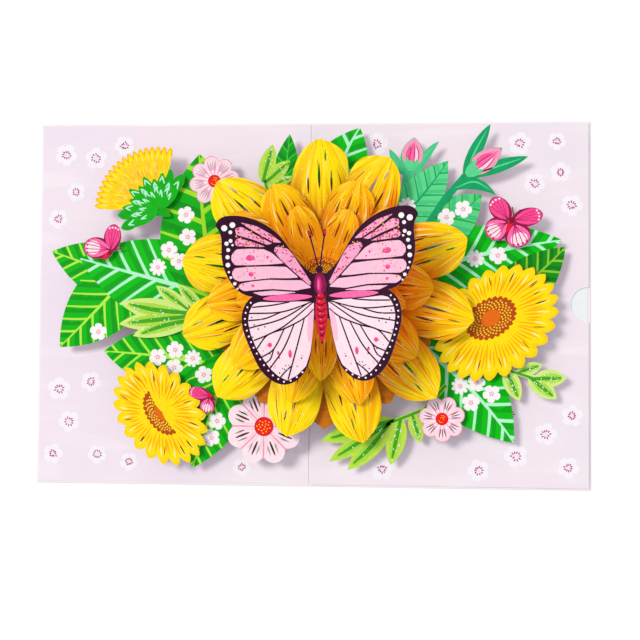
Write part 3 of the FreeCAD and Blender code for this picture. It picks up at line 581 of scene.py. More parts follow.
# %% [markdown]
# The artwork is painted with a few kinds of brush mark: a dab such as a petal, a stroke along a
# soft line, a dot and a closed cell. Each mark is drawn flat in millimetres as a small mesh, and
# gets the thickness of an ink film, drawn thicker than real so that each lies clear of the one
# below. Whole drawings are then laid on their sheet. A texture made of nodes could do this too,
# but drawn marks are easier to place, and each keeps its own clean edge at any distance.

# %% Brush marks
INK_STEP = 0.03
INK_FILM = 0.02
INKS = {
    # ink: colour, streak, size of the streaks in mm
    "wing pink": ("#f59cc2", "#f9bcd6", 1.6),
    "wing blush": ("#f9bcd6", "#fbcfe1", 2.4),
    "wing pale": ("#fde6ef", "#fbd6e6", 3.0),
    "wing dark": ("#26001f", "#360430", 2.0),
    "hot pink": ("#f23c8c", "#ff67a8", 1.2),
    "rose pink": ("#ff5fa6", "#ff8cc0", 1.5),
    "deep pink": ("#c01660", "#d93a7c", 1.0),
    "red": ("#ee1414", "#f62a20", 1.5),
    "crimson": ("#d60f30", "#ef2a44", 1.5),
    "dark crimson": ("#7c0a26", "#8e1230", 1.0),
    "plum": ("#7a0a4c", "#a8105c", 1.5),
    "white": ("#fdfbfc", "#f6eef3", 2.0),
    "bluish white": ("#f5f4fa", "#f0eef7", 3.0),
    "gold": ("#ffc81e", "#ffdb4a", 0.8),
    "ray yellow": ("#ffe408", "#ffd000", 2.0),
    "ray shade": ("#f2aa00", "#fcbc00", 2.0),
    "orange": ("#e0640a", "#ee7c18", 1.4),
    "seed brown": ("#a8480a", "#bd5a10", 1.0),
    "pale yellow": ("#fff3a0", "#ffe96a", 1.0),
    "leaf green": ("#06b814", "#049a10", 3.0),
    "mint": ("#b4f7d0", "#9cf0c0", 2.0),
    "sprig green": ("#aee048", "#98d238", 2.5),
    "sepal green": ("#5fdc98", "#3fcb84", 2.0),
    "stem green": ("#38a41c", "#4fb626", 2.0),
    "bud pink": ("#f9a3c6", "#f77fb2", 1.5),
    "stroke brown": ("#4a1426", "#5c1c30", 1.0),
    "stamen pink": ("#b23c80", "#c8589a", 0.8),
    "petal pink": ("#f9dce6", "#f6cfdc", 2.0),
    "petal blush": ("#fbe9f0", "#f8dfe9", 2.0),
    "mauve": ("#c797ae", "#d3a6bb", 1.0),
    "rust": ("#b4460a", "#c4560e", 1.0),
}
INK_NAMES = list(INKS)


def sideways(reach):
    """The unit direction to the left of a direction."""
    return Vector((-reach.y, reach.x)).normalized()


def dye(marks, ink_name):
    """Gives the faces between these vertices an ink by its name."""
    for vert in marks:
        for face in vert.link_faces:
            face.material_index = INK_NAMES.index(ink_name)


def dab(bm, base, tip, width, ink_name, z, lean=1.0, point=0.0, bow=0.0, sides=14):
    """A petal-like mark from base to tip; lean below 1 makes it fuller towards the tip."""
    base, tip = Vector(base), Vector(tip)
    reach = tip - base
    across = sideways(reach)
    marks = bmesh.ops.create_circle(bm, cap_ends=True, segments=sides, radius=1.0)["verts"]
    for vert in marks:
        share = (0.5 + 0.5 * vert.co.x) ** lean
        side = 0.5 * width * vert.co.y * (1 - point * vert.co.x ** 2)
        spot = base + reach * share + across * (side + 4 * bow * share * (1 - share))
        vert.co = (spot.x, spot.y, z)
    dye(marks, ink_name)


def dot(bm, centre, radius, ink_name, z, tall=1.0, sides=8):
    """A round mark, or an upright oval if tall is above 1."""
    reach = Vector((0, radius * tall))
    dab(bm, Vector(centre) - reach, Vector(centre) + reach, 2 * radius, ink_name, z, sides=sides)


def along(points, share):
    """The place and heading at a share of a soft curve through a few points."""
    points = [Vector(point) for point in points]
    spots = [2 * points[0] - points[1]] + points + [2 * points[-1] - points[-2]]
    run = min(int(share * (len(points) - 1)), len(points) - 2)
    t = share * (len(points) - 1) - run
    a, b, c, d = spots[run:run + 4]
    bend, twist = 2 * a - 5 * b + 4 * c - d, 3 * b - a - 3 * c + d
    place = 0.5 * (2 * b + (c - a) * t + bend * t * t + twist * t ** 3)
    return place, ((c - a) + 2 * bend * t + 3 * twist * t * t).normalized()


def stroke(bm, path, width, ink_name, z, foot=0.3, tip=0.2):
    """A brush stroke along a path, widest halfway, with shares of that width at its ends."""
    runs = 6 * (len(path) - 1)
    marks = bmesh.ops.create_grid(bm, x_segments=runs, y_segments=1, size=1.0)["verts"]
    for vert in marks:
        share = min(max(0.5 + 0.5 * vert.co.x, 0.0), 1.0)
        end = foot if share < 0.5 else tip
        swell = end + (1 - end) * math.sin(math.pi * share)
        place, heading = along(path, share)
        side = 0.5 * width * swell * vert.co.y
        vert.co = (place.x - heading.y * side, place.y + heading.x * side, z)
    dye(marks, ink_name)


def cell(bm, corners, ink_name, z, rounding=0.9):
    """A closed field of ink with rounded corners."""
    marks = [bm.verts.new((x, y, z)) for x, y in corners]
    bm.faces.new(marks)
    if rounding:
        marks = bmesh.ops.bevel(bm, geom=marks, offset=rounding, affect="VERTICES", segments=3,
                                profile=0.5, material=-1, clamp_overlap=True)["verts"]
    dye(marks, ink_name)


def inside(corners, x, y):
    """Whether a place lies within a closed outline."""
    within = False
    for (x1, y1), (x2, y2) in zip(corners, corners[1:] + corners[:1]):
        if (y1 > y) != (y2 > y) and x < x1 + (x2 - x1) * (y - y1) / (y2 - y1):
            within = not within
    return within


def sprinkle(bm, corners, tries, radius, ink_name, z, seed):
    """Small dots scattered over an outline."""
    chance = random.Random(seed)
    for attempt in range(tries):
        x, y = (chance.uniform(min(values), max(values)) for values in zip(*corners))
        size = radius * chance.uniform(0.6, 1.3)
        if inside(corners, x, y):
            dot(bm, (x, y), size, ink_name, z, sides=6)


def seeds(bm, centre, radii, turn, count, size, ink_name, z, hole=0.0):
    """Seeds on a sunflower's spiral, each turned from the last by the golden angle."""
    heading = Matrix.Rotation(math.radians(turn), 2)
    for index in range(count):
        share = math.sqrt(hole ** 2 + (1 - hole ** 2) * (index + 0.5) / count)
        angle = math.radians(137.508 * index)
        place = heading @ Vector((radii[0] * share * math.cos(angle),
                                  radii[1] * share * math.sin(angle)))
        dot(bm, Vector(centre) + place, size, ink_name, z, sides=6)


ink_stock = {}


def lay_print(name, bm, place=None):
    """Gives a drawing its film of ink, puts it on its sheet and makes it a piece."""
    bm.normal_update()
    for face in bm.faces:
        if face.normal.z < 0:
            face.normal_flip()
    bm.normal_update()
    used = sorted({face.material_index for face in bm.faces})
    for face in bm.faces:
        face.material_index = used.index(face.material_index)
    bmesh.ops.solidify(bm, geom=bm.faces[:], thickness=INK_FILM)
    for vert in bm.verts:
        vert.co = (place(vert.co) if place else vert.co) * MM
    bmesh.ops.recalc_face_normals(bm, faces=bm.faces)
    ink_names = [INK_NAMES[number] for number in used]
    for ink_name in ink_names:
        if ink_name not in ink_stock:
            ink_stock[ink_name] = ink("ink, " + ink_name, *INKS[ink_name])
    make_piece(name, bm, [ink_stock[ink_name] for ink_name in ink_names])


# %% [markdown]
# The butterfly's wings are dark at the margin and between the cells. Veins could be drawn over
# pink, but it takes fewer marks to let the dark sheet be the ground and lay pink cells on it,
# which leaves the veins standing. The hind wing is one pale cell with thin veins drawn over it.
# One wing pair is drawn, mirrored, and bent up along the crease beside the body as the sheet is.

# %% Butterfly wings
CREASE = 3.6
LIFT = math.radians(6)
BUTTERFLY = Matrix.Translation((8.8, 4.0, 48.0)) @ Matrix.Rotation(math.radians(3.3), 4, "Z")
ROOT_CELL = [(4.4, 4.2), (8, 10.5), (13, 19), (15.5, 22.3), (21.5, 23.8), (22.8, 21.8),
             (20, 17.6), (13.4, 10.9), (5.4, 3.0)]
TIP_CELLS = [
    [(18.5, 25.6), (24, 30.2), (31, 34.6), (39, 36.8), (33, 32.4), (22.4, 25.8)],
    [(23.4, 25.4), (32, 30.4), (38.6, 34.6), (41.8, 33.6), (41.4, 30.6), (33, 27.8), (25.8, 24.7)],
    [(26.8, 23.8), (34, 26.8), (40.6, 29.0), (42.4, 26.8), (41.4, 24.8), (33, 24.1)],
]
FORE_CELLS = [
    [(18, 15), (23.8, 20.6), (27.6, 22.6), (35, 23.2), (41.6, 23.2), (44.2, 20.4), (44.4, 17.6),
     (42.8, 15.2), (35, 14.8), (26, 14.7)],
    [(10.8, 7.4), (16.8, 13.2), (26, 13.8), (36, 14), (43, 13.6), (44.4, 11.4), (43.8, 8.4),
     (41, 6.8), (34, 7.2), (25, 7.8), (16, 7.3)],
    [(4.4, 2.0), (9.4, 6), (18, 6.4), (26, 7), (35, 6.5), (40.4, 5.6), (41.6, 3.8), (38.8, 1.8),
     (32, 2.1), (24, 2.2), (13, 0.9)],
    [(12, 0.0), (24, 1.4), (34.4, 0.9), (30.2, -0.9), (20, -0.8)],
]
HIND_CELL = [(3.7, -5.2), (12, -4.7), (20, -4.8), (31, -4.0), (34.4, -5.0), (36.6, -9),
             (37.4, -14), (36.4, -20), (34, -27), (30.6, -33), (27.4, -38), (23.4, -42),
             (19, -44.4), (14, -42), (9.2, -37.6), (6.8, -31), (5.2, -22), (4.0, -12)]
HIND_VEINS = [
    [(16, -4.8), (25, -6.0), (35, -6.6)],
    [(4, -5.0), (20, -9.6), (36.8, -9.6)],
    [(21, -9.9), (29, -12.6), (37.2, -13.2)],
    [(6, -5.4), (20, -13), (37, -17)],
    [(4, -5.4), (18, -16), (27, -20.5), (35, -23.4)],
    [(4, -9), (9.5, -13.6), (19, -18), (28, -21), (33.6, -27.6)],
    [(19, -17.6), (25, -28), (31.4, -32)],
    [(14, -15.6), (20, -28), (27.6, -38)],
    [(25, -28), (27, -33), (29.4, -35)],
    [(9, -13.6), (13.5, -28), (18.6, -43.8)],
    [(16.5, -37), (20, -40), (22.4, -42.6)],
]
# white spots at the fore wing's tip as (x, y, radius), and along the hind wing's margin
TIP_SPOTS = [(43, 35.6, 1.5), (47.2, 34.2, 1.6), (44.2, 32, 1.0), (44.3, 27.6, 1.0),
             (46.4, 26.3, 1.1), (43.4, 25.4, 0.6), (45.7, 23, 1.0), (46.2, 19.4, 1.1),
             (46.2, 15.4, 1.2), (45.9, 11.8, 0.6), (45.0, 9.0, 0.7), (43.2, 5.8, 0.9),
             (41.9, 3.2, 0.5)]
SCALLOPS = [(35.6, -4.2), (37.4, -6.4), (38.4, -9.2), (38.9, -12.2), (38.8, -15.2),
            (38.2, -18.2), (37.4, -21.2), (36.4, -24.1), (35.2, -27), (33.8, -30), (32.2, -33),
            (30.4, -36), (28.4, -38.9), (26.2, -41.4), (23.6, -43.4), (20.8, -44.9),
            (17.4, -44.5), (14.2, -42.9), (11.2, -40.6)]
# larger hot pink spots as (centre, radius, height against width), and the fields for speckles
FORE_SPOTS = [((34.8, 18.5), 2.3, 0.65), ((34.8, 10.2), 1.3, 0.9), ((34.2, 4.3), 0.8, 1.0),
              ((26, 18.4), 0.7, 1.0), ((24.2, 16.4), 0.5, 1.0)]
HIND_SPOTS = [((17, -31), 0.9, 2.3), ((27, -26), 1.1, 1.1), ((22.9, -30.4), 0.7, 1.2)]
HIND_RIM = [(36, -6), (37, -16), (34, -28), (27, -38), (19, -43), (9, -36), (8, -30), (18, -33),
            (26, -27), (29, -16), (28, -7)]
FORE_RIM = [(30, 23), (42, 22), (44, 12), (41, 3), (33, 3)]
TIP_FIELD = [(26, 30), (38, 36), (42, 30), (40, 24), (30, 24)]
FRONT_EDGE = [(14, 22), (26, 31), (37, 37), (40, 36.4), (26, 28), (16, 20)]


def on_wing(spot):
    """Bends a flat drawing up beyond the crease and sets it at the butterfly's place."""
    out = abs(spot.x) - CREASE
    if out > 0:
        hand = math.copysign(1.0, spot.x)
        across = CREASE + out * math.cos(LIFT) - spot.z * math.sin(LIFT)
        spot = Vector((hand * across, spot.y, out * math.sin(LIFT) + spot.z * math.cos(LIFT)))
    return BUTTERFLY @ spot


wings = bmesh.new()
first, second, third = (CARD + INK_STEP * layer for layer in (1, 2, 3))
for corners in [ROOT_CELL] + TIP_CELLS:
    cell(wings, corners, "wing pink", first)
    sprinkle(wings, corners, 70, 0.42, "deep pink", second, 3)
for corners in FORE_CELLS:
    cell(wings, corners, "wing blush", first)
sprinkle(wings, FORE_CELLS[0], 40, 0.28, "hot pink", second, 5)
dab(wings, (4.2, -2.5), (29.6, -2.5), 3.5, "rose pink", first, point=0.2)
for centre, radius, flat in FORE_SPOTS:
    dot(wings, centre, radius, "hot pink", second, tall=flat, sides=12)
cell(wings, HIND_CELL, "wing pale", first)
for path in HIND_VEINS:
    stroke(wings, path, 0.75, "wing dark", second, foot=0.8, tip=1.0)
for centre, radius, tall in HIND_SPOTS:
    dot(wings, centre, radius, "hot pink", third, tall=tall, sides=12)
dab(wings, (5.0, -8), (7.0, -26), 3.0, "wing blush", second)
for x, y, radius in TIP_SPOTS:
    dot(wings, (x, y), radius, "white", second, sides=10)
for centre in SCALLOPS:
    dot(wings, centre, 0.5, "white", third)
for corners, tries, radius, ink_name, z, seed in (
        (HIND_RIM, 70, 0.34, "wing dark", third, 8), (HIND_RIM, 40, 0.3, "orange", second, 9),
        (FORE_RIM, 40, 0.32, "orange", third, 11), (TIP_FIELD, 30, 0.36, "gold", third, 12),
        (FRONT_EDGE, 40, 0.34, "gold", third, 13)):
    sprinkle(wings, corners, tries, radius, ink_name, z, seed)
for corners in [ROOT_CELL, HIND_CELL] + TIP_CELLS + FORE_CELLS:
    sprinkle(wings, corners, 60, 0.17, "white", third, 21)
half = wings.verts[:] + wings.edges[:] + wings.faces[:]
copied = bmesh.ops.duplicate(wings, geom=half)["geom"]
bmesh.ops.scale(wings, vec=(-1, 1, 1), verts=[item for item in copied
                                              if isinstance(item, bmesh.types.BMVert)])
lay_print("butterfly_wings_print", wings, on_wing)

# %% [markdown]
# The body lies on its own dark sheet: a plum thorax, and a crimson abdomen, both with a painted
# highlight down their left side, towards the light. Its rings could be cut from it, but scalloped
# darker strokes across it show how round it is.

# %% Butterfly body
body = bmesh.new()
first, second, third = (2 * CARD + INK_STEP * layer for layer in (1, 2, 3))
dab(body, (0, -2.4), (0, 9.4), 6.2, "plum", first, point=0.1)
# painted highlight: lighter pinks down the thorax's left side, where the light falls
dab(body, (-0.6, -1.4), (-0.4, 7.6), 2.8, "deep pink", second)
dab(body, (-0.9, 0.4), (-0.7, 6.2), 1.0, "rose pink", third)
dab(body, (0, 9.2), (0, 12.4), 2.6, "wing dark", second)
dab(body, (-0.4, -26.6), (0, -0.6), 6.1, "crimson", first + 0.5 * INK_STEP, lean=0.72)
for ring in range(7):
    y = -3.6 - 3.1 * ring
    half_width = 2.75 - 0.05 * ring - 0.04 * ring * ring
    stroke(body, [(-half_width, y + 0.9), (-0.1 * ring, y - 0.5), (half_width, y + 0.9)], 1.1,
           "dark crimson", second, foot=0.5, tip=0.5)
    # painted highlight: a rose pink dot on the left side of each ring
    dot(body, (-0.35 * half_width, y + 1.6), 0.5, "rose pink", second, tall=0.6)
for base, tip in (((-3.9, 28.2), (-4.6, 30.6)), ((3.4, 28.6), (4.0, 31.2))):
    dab(body, base, tip, 1.1, "crimson", first)
lay_print("butterfly_body_print", body, lambda spot: BUTTERFLY @ spot)

# %% [markdown]
# A sunflower's head is rays around a disc of seeds. One starry shape would do from afar, but
# rays drawn one by one overlap as real ones do, each on its own level, one to each tooth of the
# sheet. Thin strokes follow them as a fine brush does. The seeds sit on the golden spiral that
# real seeds grow in. On the left flower the far rays fold over the disc.

# %% Side sunflowers
RIM_DABS = 26
RAY_WIDTH = 1.08


def ray(bm, base, tip, width, z, chance, brown, tint="ray yellow"):
    """One ray petal with its brush strokes."""
    base, tip = Vector(base), Vector(tip)
    reach = tip - base
    across = sideways(reach) * width
    over = z + 0.5 * INK_STEP
    dab(bm, base, tip, width, tint, z, lean=0.8, point=0.25, sides=12)
    for side in (-0.24, 0.02, 0.27):
        start, end = chance.uniform(0.25, 0.45), chance.uniform(0.7, 0.86)
        stroke(bm, [base + reach * start + across * side * 0.7, base + reach * end + across * side],
               0.09 * width, "ray shade", over)
    shine = chance.uniform(-0.2, 0.2)
    stroke(bm, [base + reach * 0.62 + across * shine, base + reach * 0.88 + across * shine * 0.5],
           0.1 * width, "pale yellow", over)
    if brown:
        stroke(bm, [base + reach * 0.6 - across * shine,
                    base + reach * 0.84 - across * shine * 0.6], 0.07 * width,
               "seed brown", over)


def disc(bm, centre, radii, turn, z):
    """A seed disc: a jagged rim, brown ground, gold seeds and an orange heart."""
    heading = polar((0, 0), turn, 1.0)
    side = Vector((-heading.y, heading.x))
    for index in range(RIM_DABS):
        angle = math.radians(index * 360 / RIM_DABS)
        spoke = heading * radii[0] * math.cos(angle) + side * radii[1] * math.sin(angle)
        dab(bm, Vector(centre) + 0.85 * spoke, Vector(centre) + 1.1 * spoke, 0.2 * radii[0], "rust",
            z - INK_STEP * (1 - 0.02 * index), point=0.5, sides=8)
    for scale, ink_name, layer in ((1.0, "rust", 0), (0.94, "seed brown", 0.5),
                                   (0.42, "orange", 1.5)):
        reach = heading * radii[0] * scale
        dab(bm, Vector(centre) - reach, Vector(centre) + reach, 2 * radii[1] * scale, ink_name,
            z + layer * INK_STEP, sides=28)
    seeds(bm, centre, [radius * 0.9 for radius in radii], turn, 110, 0.52, "gold",
          z + INK_STEP, hole=0.48)


# centre, half axes, turn and number of teeth of the sheet; then the disc's centre, half axes and
# turn, and how far across it, from -1 to 1, the far rays fold over it
SUNFLOWERS = {
    "sunflower_right": ((100.5, -10.5), (37.0, 27.0), 40, 24,
                        (97.5, -8.0), (13.6, 9.6), 32, 1.0),
    "sunflower_bottom_left": ((-80.5, -60.5), (31.5, 22.5), -52, 21,
                              (-79.6, -60.0), (12.6, 7.8), -56, 0.25),
}
for node, (centre, axes, turn, count, heart, radii, tilt, fold) in SUNFLOWERS.items():
    far_side = polar((0, 0), tilt + 90, 1.0)
    chance = random.Random(len(node))
    head = bmesh.new()
    heading = Matrix.Rotation(math.radians(turn), 2)
    base = Vector(heart)
    width = RAY_WIDTH * math.pi * (axes[0] + axes[1]) / count
    for index in range(count):
        angle = math.radians((index + 0.5) * 360 / count)
        tip = Vector(centre) + heading @ Vector((axes[0] * math.cos(angle),
                                                 axes[1] * math.sin(angle)))
        reach = tip - base
        folded = reach.normalized().dot(far_side) > fold
        ray(head, base + reach * (0.02 if folded else 0.2),
            base + reach * chance.uniform(0.94, 0.98), width,
            SPRAY_TOP + INK_STEP * ((9 if folded else 1) + 0.1 * index), chance, index % 2 == 0)
    disc(head, heart, radii, tilt, SPRAY_TOP + 5 * INK_STEP)
    lay_print(node + "_print", head)

# %% [markdown]
# The third sunflower is seen from its side: a fan of narrow yellow petals above a green calyx
# with pale mint marks. One row of rays would look like a paper fan. So three rows lie over each
# other, the front ones shorter and scattered, and the ground follows the sheet's own teeth.

# %% Sunflower in side view
FAN = Vector((-84.0, 51.0))
TEETH, FAN_FROM, FAN_TO = 18, 74.0, 180.0
BRACTS = 11
side_head = bmesh.new()
chance = random.Random(7)
tooth = (FAN_TO - FAN_FROM) / TEETH
edge = []
for index in range(TEETH):
    edge += [polar(FAN, FAN_FROM + index * tooth, 31.2),
             polar(FAN, FAN_FROM + (index + 0.5) * tooth, 34.0)]
edge += [polar(FAN, angle, radius) for angle, radius in ((179.5, 31.2), (179.5, 15), (127, 13),
                                                         (75, 15))]
cell(side_head, [tuple(spot) for spot in edge], "ray shade", SPRAY_TOP + INK_STEP, rounding=0)
for index in range(TEETH):
    angle = FAN_FROM + (index + 0.5) * tooth
    ray(side_head, polar(FAN, angle, 14), polar(FAN, angle, 33.4), 3.6,
        SPRAY_TOP + INK_STEP * (2 + 0.1 * index), chance, False)
# rows of shorter rays in front, as (number, shortest, longest, layer)
for count, shortest, longest, layer in ((15, 24, 31, 4), (13, 19, 27, 5.5)):
    for index in range(count):
        angle = FAN_FROM + 5 + (index + 0.5) * (FAN_TO - FAN_FROM - 10) / count
        ray(side_head, polar(FAN, angle, 11),
            polar(FAN, angle + chance.uniform(-4, 4), chance.uniform(shortest, longest)), 3.1,
            SPRAY_TOP + INK_STEP * (layer + 0.1 * index), chance, index % 4 == 0,
            tint="gold" if index % 2 else "ray yellow")
for index in range(BRACTS):
    angle = 57 + index * 148 / (BRACTS - 1)
    length = 21.0 - 3.0 * (index % 2)
    dab(side_head, polar(CALYX, angle, 1.0), polar(CALYX, angle, length), 7.0, "leaf green",
        SPRAY_TOP + INK_STEP * (8 + 0.2 * index), lean=1.15, point=0.45)
    mark = SPRAY_TOP + INK_STEP * (11 + 0.1 * index)
    for radius in (10.5 + 2 * (index % 2), length - 3.0):
        left = [polar(CALYX, angle - 6, radius - 3.0), polar(CALYX, angle - 2, radius - 0.6),
                polar(CALYX, angle + chance.uniform(-1, 1), radius + 1.0)]
        stroke(side_head, left, 0.9, "mint", mark, foot=0.6)
        stroke(side_head, [left[2], polar(CALYX, angle + 5, radius - 2.2)], 0.8, "mint",
               mark + 0.05 * INK_STEP, foot=0.7)
lay_print("sunflower_top_left_print", side_head)

# %% [markdown]
# The pink flowers have a pale petal with a whiter middle, brush strokes and a red heart with a
# light curl or dots. Dabs laid on a deeper pink sheet leave a rim round each petal. On the large
# one the sheet's own print stays bare, because dabs would cover the real slits cut in its petals;
# it gets one painted stroke between each pair of slits.

# %% Pink flowers
# centre, radius, petals, turn, heart, top of the sheet, whether slits are cut in it, the strokes'
# sides and their ink
PINK_FLOWERS = {
    "pink_flower_top": ((-52.5, 66.5), 14.0, 8, 10, 3.5, 10.0, False, (-0.6, -0.2, 0.2, 0.6),
                        "mauve"),
    "pink_flower_bottom": ((-23.7, -67.0), 20.6, 8, 22, 5.2, SPRAY_TOP, True, (0,),
                           "stroke brown"),
    "pink_flower_right": ((71.8, -61.9), 12.4, 7, 15, 3.4, SPRAY_TOP, False, (-0.55, 0, 0.55),
                          "stroke brown"),
}
for node, (centre, radius, count, turn, heart, top, slit, sides,
           line_ink) in PINK_FLOWERS.items():
    flower = bmesh.new()
    for index in range(count):
        angle = turn + index * 360 / count
        width = 2 * radius * math.sin(math.pi / count)
        if slit:
            seam = angle + 180 / count
            stroke(flower, [polar(centre, seam, heart), polar(centre, seam, 0.84 * radius)], 0.9,
                   "bud pink", top + INK_STEP, foot=0.5, tip=0.9)
        else:
            dab(flower, polar(centre, angle, 0.2 * heart), polar(centre, angle, 0.965 * radius),
                0.78 * width, "petal pink", top + INK_STEP * (1 + 0.1 * index), lean=0.66,
                sides=20)
            dab(flower, polar(centre, angle, 0.3 * heart), polar(centre, angle, 0.84 * radius),
                0.5 * width, "petal blush", top + INK_STEP * (2 + 0.1 * index), lean=0.8,
                point=0.1)
        for side in sides:
            start = polar(centre, angle + side * 14, 0.42 * radius + 0.02 * radius * abs(side))
            end = polar(centre, angle + side * 20, 0.8 * radius)
            stroke(flower, [start, end], (0.055 if slit else 0.04) * radius, line_ink,
                   top + 5 * INK_STEP, foot=0.5, tip=0.4)
        for side in (-1, 1):
            stroke(flower, [polar(centre, angle + side * 9, 0.25 * radius),
                            polar(centre, angle + side * 15, 0.7 * radius)], 0.05 * radius,
                   "petal pink" if slit else "bud pink", top + 4 * INK_STEP)
    dot(flower, centre, heart, "crimson", top + 6 * INK_STEP, sides=20)
    dot(flower, centre, 0.84 * heart, "red", top + 7 * INK_STEP, sides=20)
    if slit:
        seeds(flower, centre, (0.74 * heart, 0.74 * heart), 0, 18, 0.08 * heart, "gold",
              top + 8 * INK_STEP)
    else:
        for share, start, end in ((0.56, 20, 140), (0.56, 200, 320), (0.26, -60, 210)):
            arc = [polar(centre, angle, share * heart) for angle in range(start, end, 30)]
            stroke(flower, arc, 0.12 * heart, "ray shade", top + 8 * INK_STEP)
    lay_print(node + "_print", flower)

# %% [markdown]
# The small butterflies' sheets are dark crimson, which makes their outlines. They could be small
# copies of the large one, but at this size its cells would be lost. So each wing gets one pink
# field a little smaller than itself, veins from its root and a row of pale spots.

# %% Small butterflies
# top of the sheet, body as (end, head, width), wings as (root, tip, width)
SMALL_BUTTERFLIES = {
    "small_butterfly_right": (SPRAY_TOP, ((105.6, 37.6), (109.6, 46.6), 3.2), [
        ((109.0, 44.4), (125.0, 48.0), 9.8), ((109.8, 42.8), (113.8, 30.2), 14.0),
        ((107.0, 44.4), (98.0, 56.4), 10.8), ((106.6, 43.6), (95.2, 36.4), 12.5)]),
    "small_butterfly_left": (SPRAY_TOP, ((-113.4, 23.2), (-108.0, 28.0), 3.0), [
        ((-109.2, 27.4), (-107.0, 42.6), 9.5), ((-108.6, 28.6), (-124.2, 30.4), 11.8)]),
    "small_butterfly_low": (SPRAY_TOP + CARD, ((-54.6, -49.2), (-50.8, -52.8), 2.2), [
        ((-53.2, -51.2), (-64.8, -47.8), 7.0), ((-53.6, -51.8), (-55.4, -60.0), 8.4)]),
}
for node, (top, (end, head, body_width), wing_list) in SMALL_BUTTERFLIES.items():
    insect = bmesh.new()
    for number, (root, tip, width) in enumerate(wing_list):
        root, tip = Vector(root), Vector(tip)
        reach = tip - root
        across = sideways(reach) * width
        fore = number % 2 == 0
        dab(insect, root + reach * 0.06, root + reach * 0.96, 0.88 * width,
            "hot pink" if fore else "rose pink", top + INK_STEP * (1 + 0.1 * number), lean=0.72,
            point=0.05, sides=18)
        if not fore:
            dab(insect, root + reach * 0.4, root + reach * 0.92, 0.66 * width, "wing pale",
                top + INK_STEP * (2 + 0.1 * number), sides=16)
        for fan in (-0.30, -0.12, 0.08, 0.28):
            stroke(insect, [root + reach * 0.08, root + reach * 0.55 + across * fan * 0.75,
                            root + reach * 0.9 + across * fan], 0.035 * width, "deep pink",
                   top + 3.5 * INK_STEP, foot=0.9, tip=0.6)
        for fan in (-0.27, -0.1, 0.08, 0.25):
            dot(insect, root + reach * (0.87 - 0.6 * fan * fan) + across * fan, 0.05 * width,
                "white" if fore else "deep pink", top + 4.5 * INK_STEP)
    dab(insect, end, head, 0.8 * body_width, "crimson", top + 5.5 * INK_STEP)
    dab(insect, Vector(end).lerp(Vector(head), 0.55), head, 0.7 * body_width, "dark crimson",
        top + 6.5 * INK_STEP)
    lay_print(node + "_print", insect)

# %% [markdown]
# The buds: pink petals folded round each other, darker in the seams, held by pale green sepals.
# They could be shaded as one round body, but printed card shows them as flat overlapping marks.
# The blades beside them have a light midrib.

# %% Buds
# bud as (base, tip, width); blades as (base, tip, width, bow)
BUDS = {
    "bud_spray_small": (((54.6, 71.5), (56.6, 89.4), 11.4), [
        ((50.5, 70), (43, 84), 4.5, 0), ((58, 70), (70, 88), 4.5, 2)]),
    "bud_spray_tall": (((84.4, 69.2), (102.9, 83.4), 11.4), [
        ((83.5, 68.5), (97.5, 97), 7, 1), ((86, 69), (117.6, 79.3), 7, 0),
        ((76, 60.5), (100.4, 58.4), 6.5, 7)]),
}
for node, ((base, tip, width), blades) in BUDS.items():
    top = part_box(node)[1].z / MM + INK_STEP
    bud = bmesh.new()
    base, tip = Vector(base), Vector(tip)
    reach = tip - base
    across = sideways(reach) * width
    dab(bud, base, tip, width, "bud pink", top, lean=0.95, point=0.45, sides=18)
    for side, ink_name, size, layer in ((-0.2, "petal pink", 0.34, 1), (0.16, "hot pink", 0.3, 1.5),
                                        (0.0, "rose pink", 0.26, 2)):
        dab(bud, base + across * side * 0.5, tip - reach * (0.08 + abs(side)) + across * side * 0.7,
            size * width, ink_name, top + layer * INK_STEP, point=0.4)
    for side in (-0.26, -0.08, 0.1, 0.25):
        stroke(bud, [base + reach * 0.25 + across * side, base + reach * 0.55 + across * side * 1.1,
                     base + reach * 0.84 + across * side * 0.4], 0.5, "deep pink",
               top + 3 * INK_STEP)
    for side, share, layer in ((-0.24, 0.4, 4), (0.24, 0.42, 5), (0.0, 0.34, 6)):
        dab(bud, base + across * side * 0.3, base + reach * share + across * side * 1.2,
            0.3 * width, "sepal green", top + layer * INK_STEP, lean=1.1, point=0.5)
    for start, end, wide, bow in blades:
        start, end = Vector(start), Vector(end)
        bend = sideways(end - start) * bow
        stroke(bud, [start.lerp(end, 0.1) + bend * 0.3, start.lerp(end, 0.5) + bend * 0.9,
                     start.lerp(end, 0.88) + bend * 0.35], 0.14 * wide, "sepal green", top)
    lay_print(node + "_print", bud)

# %% [markdown]
# Sprigs are pale lime leaflets with a brighter middle, a green midrib and white speckles. The
# leaf print would do for their veins, but so small a leaflet is clearer as three brush marks.

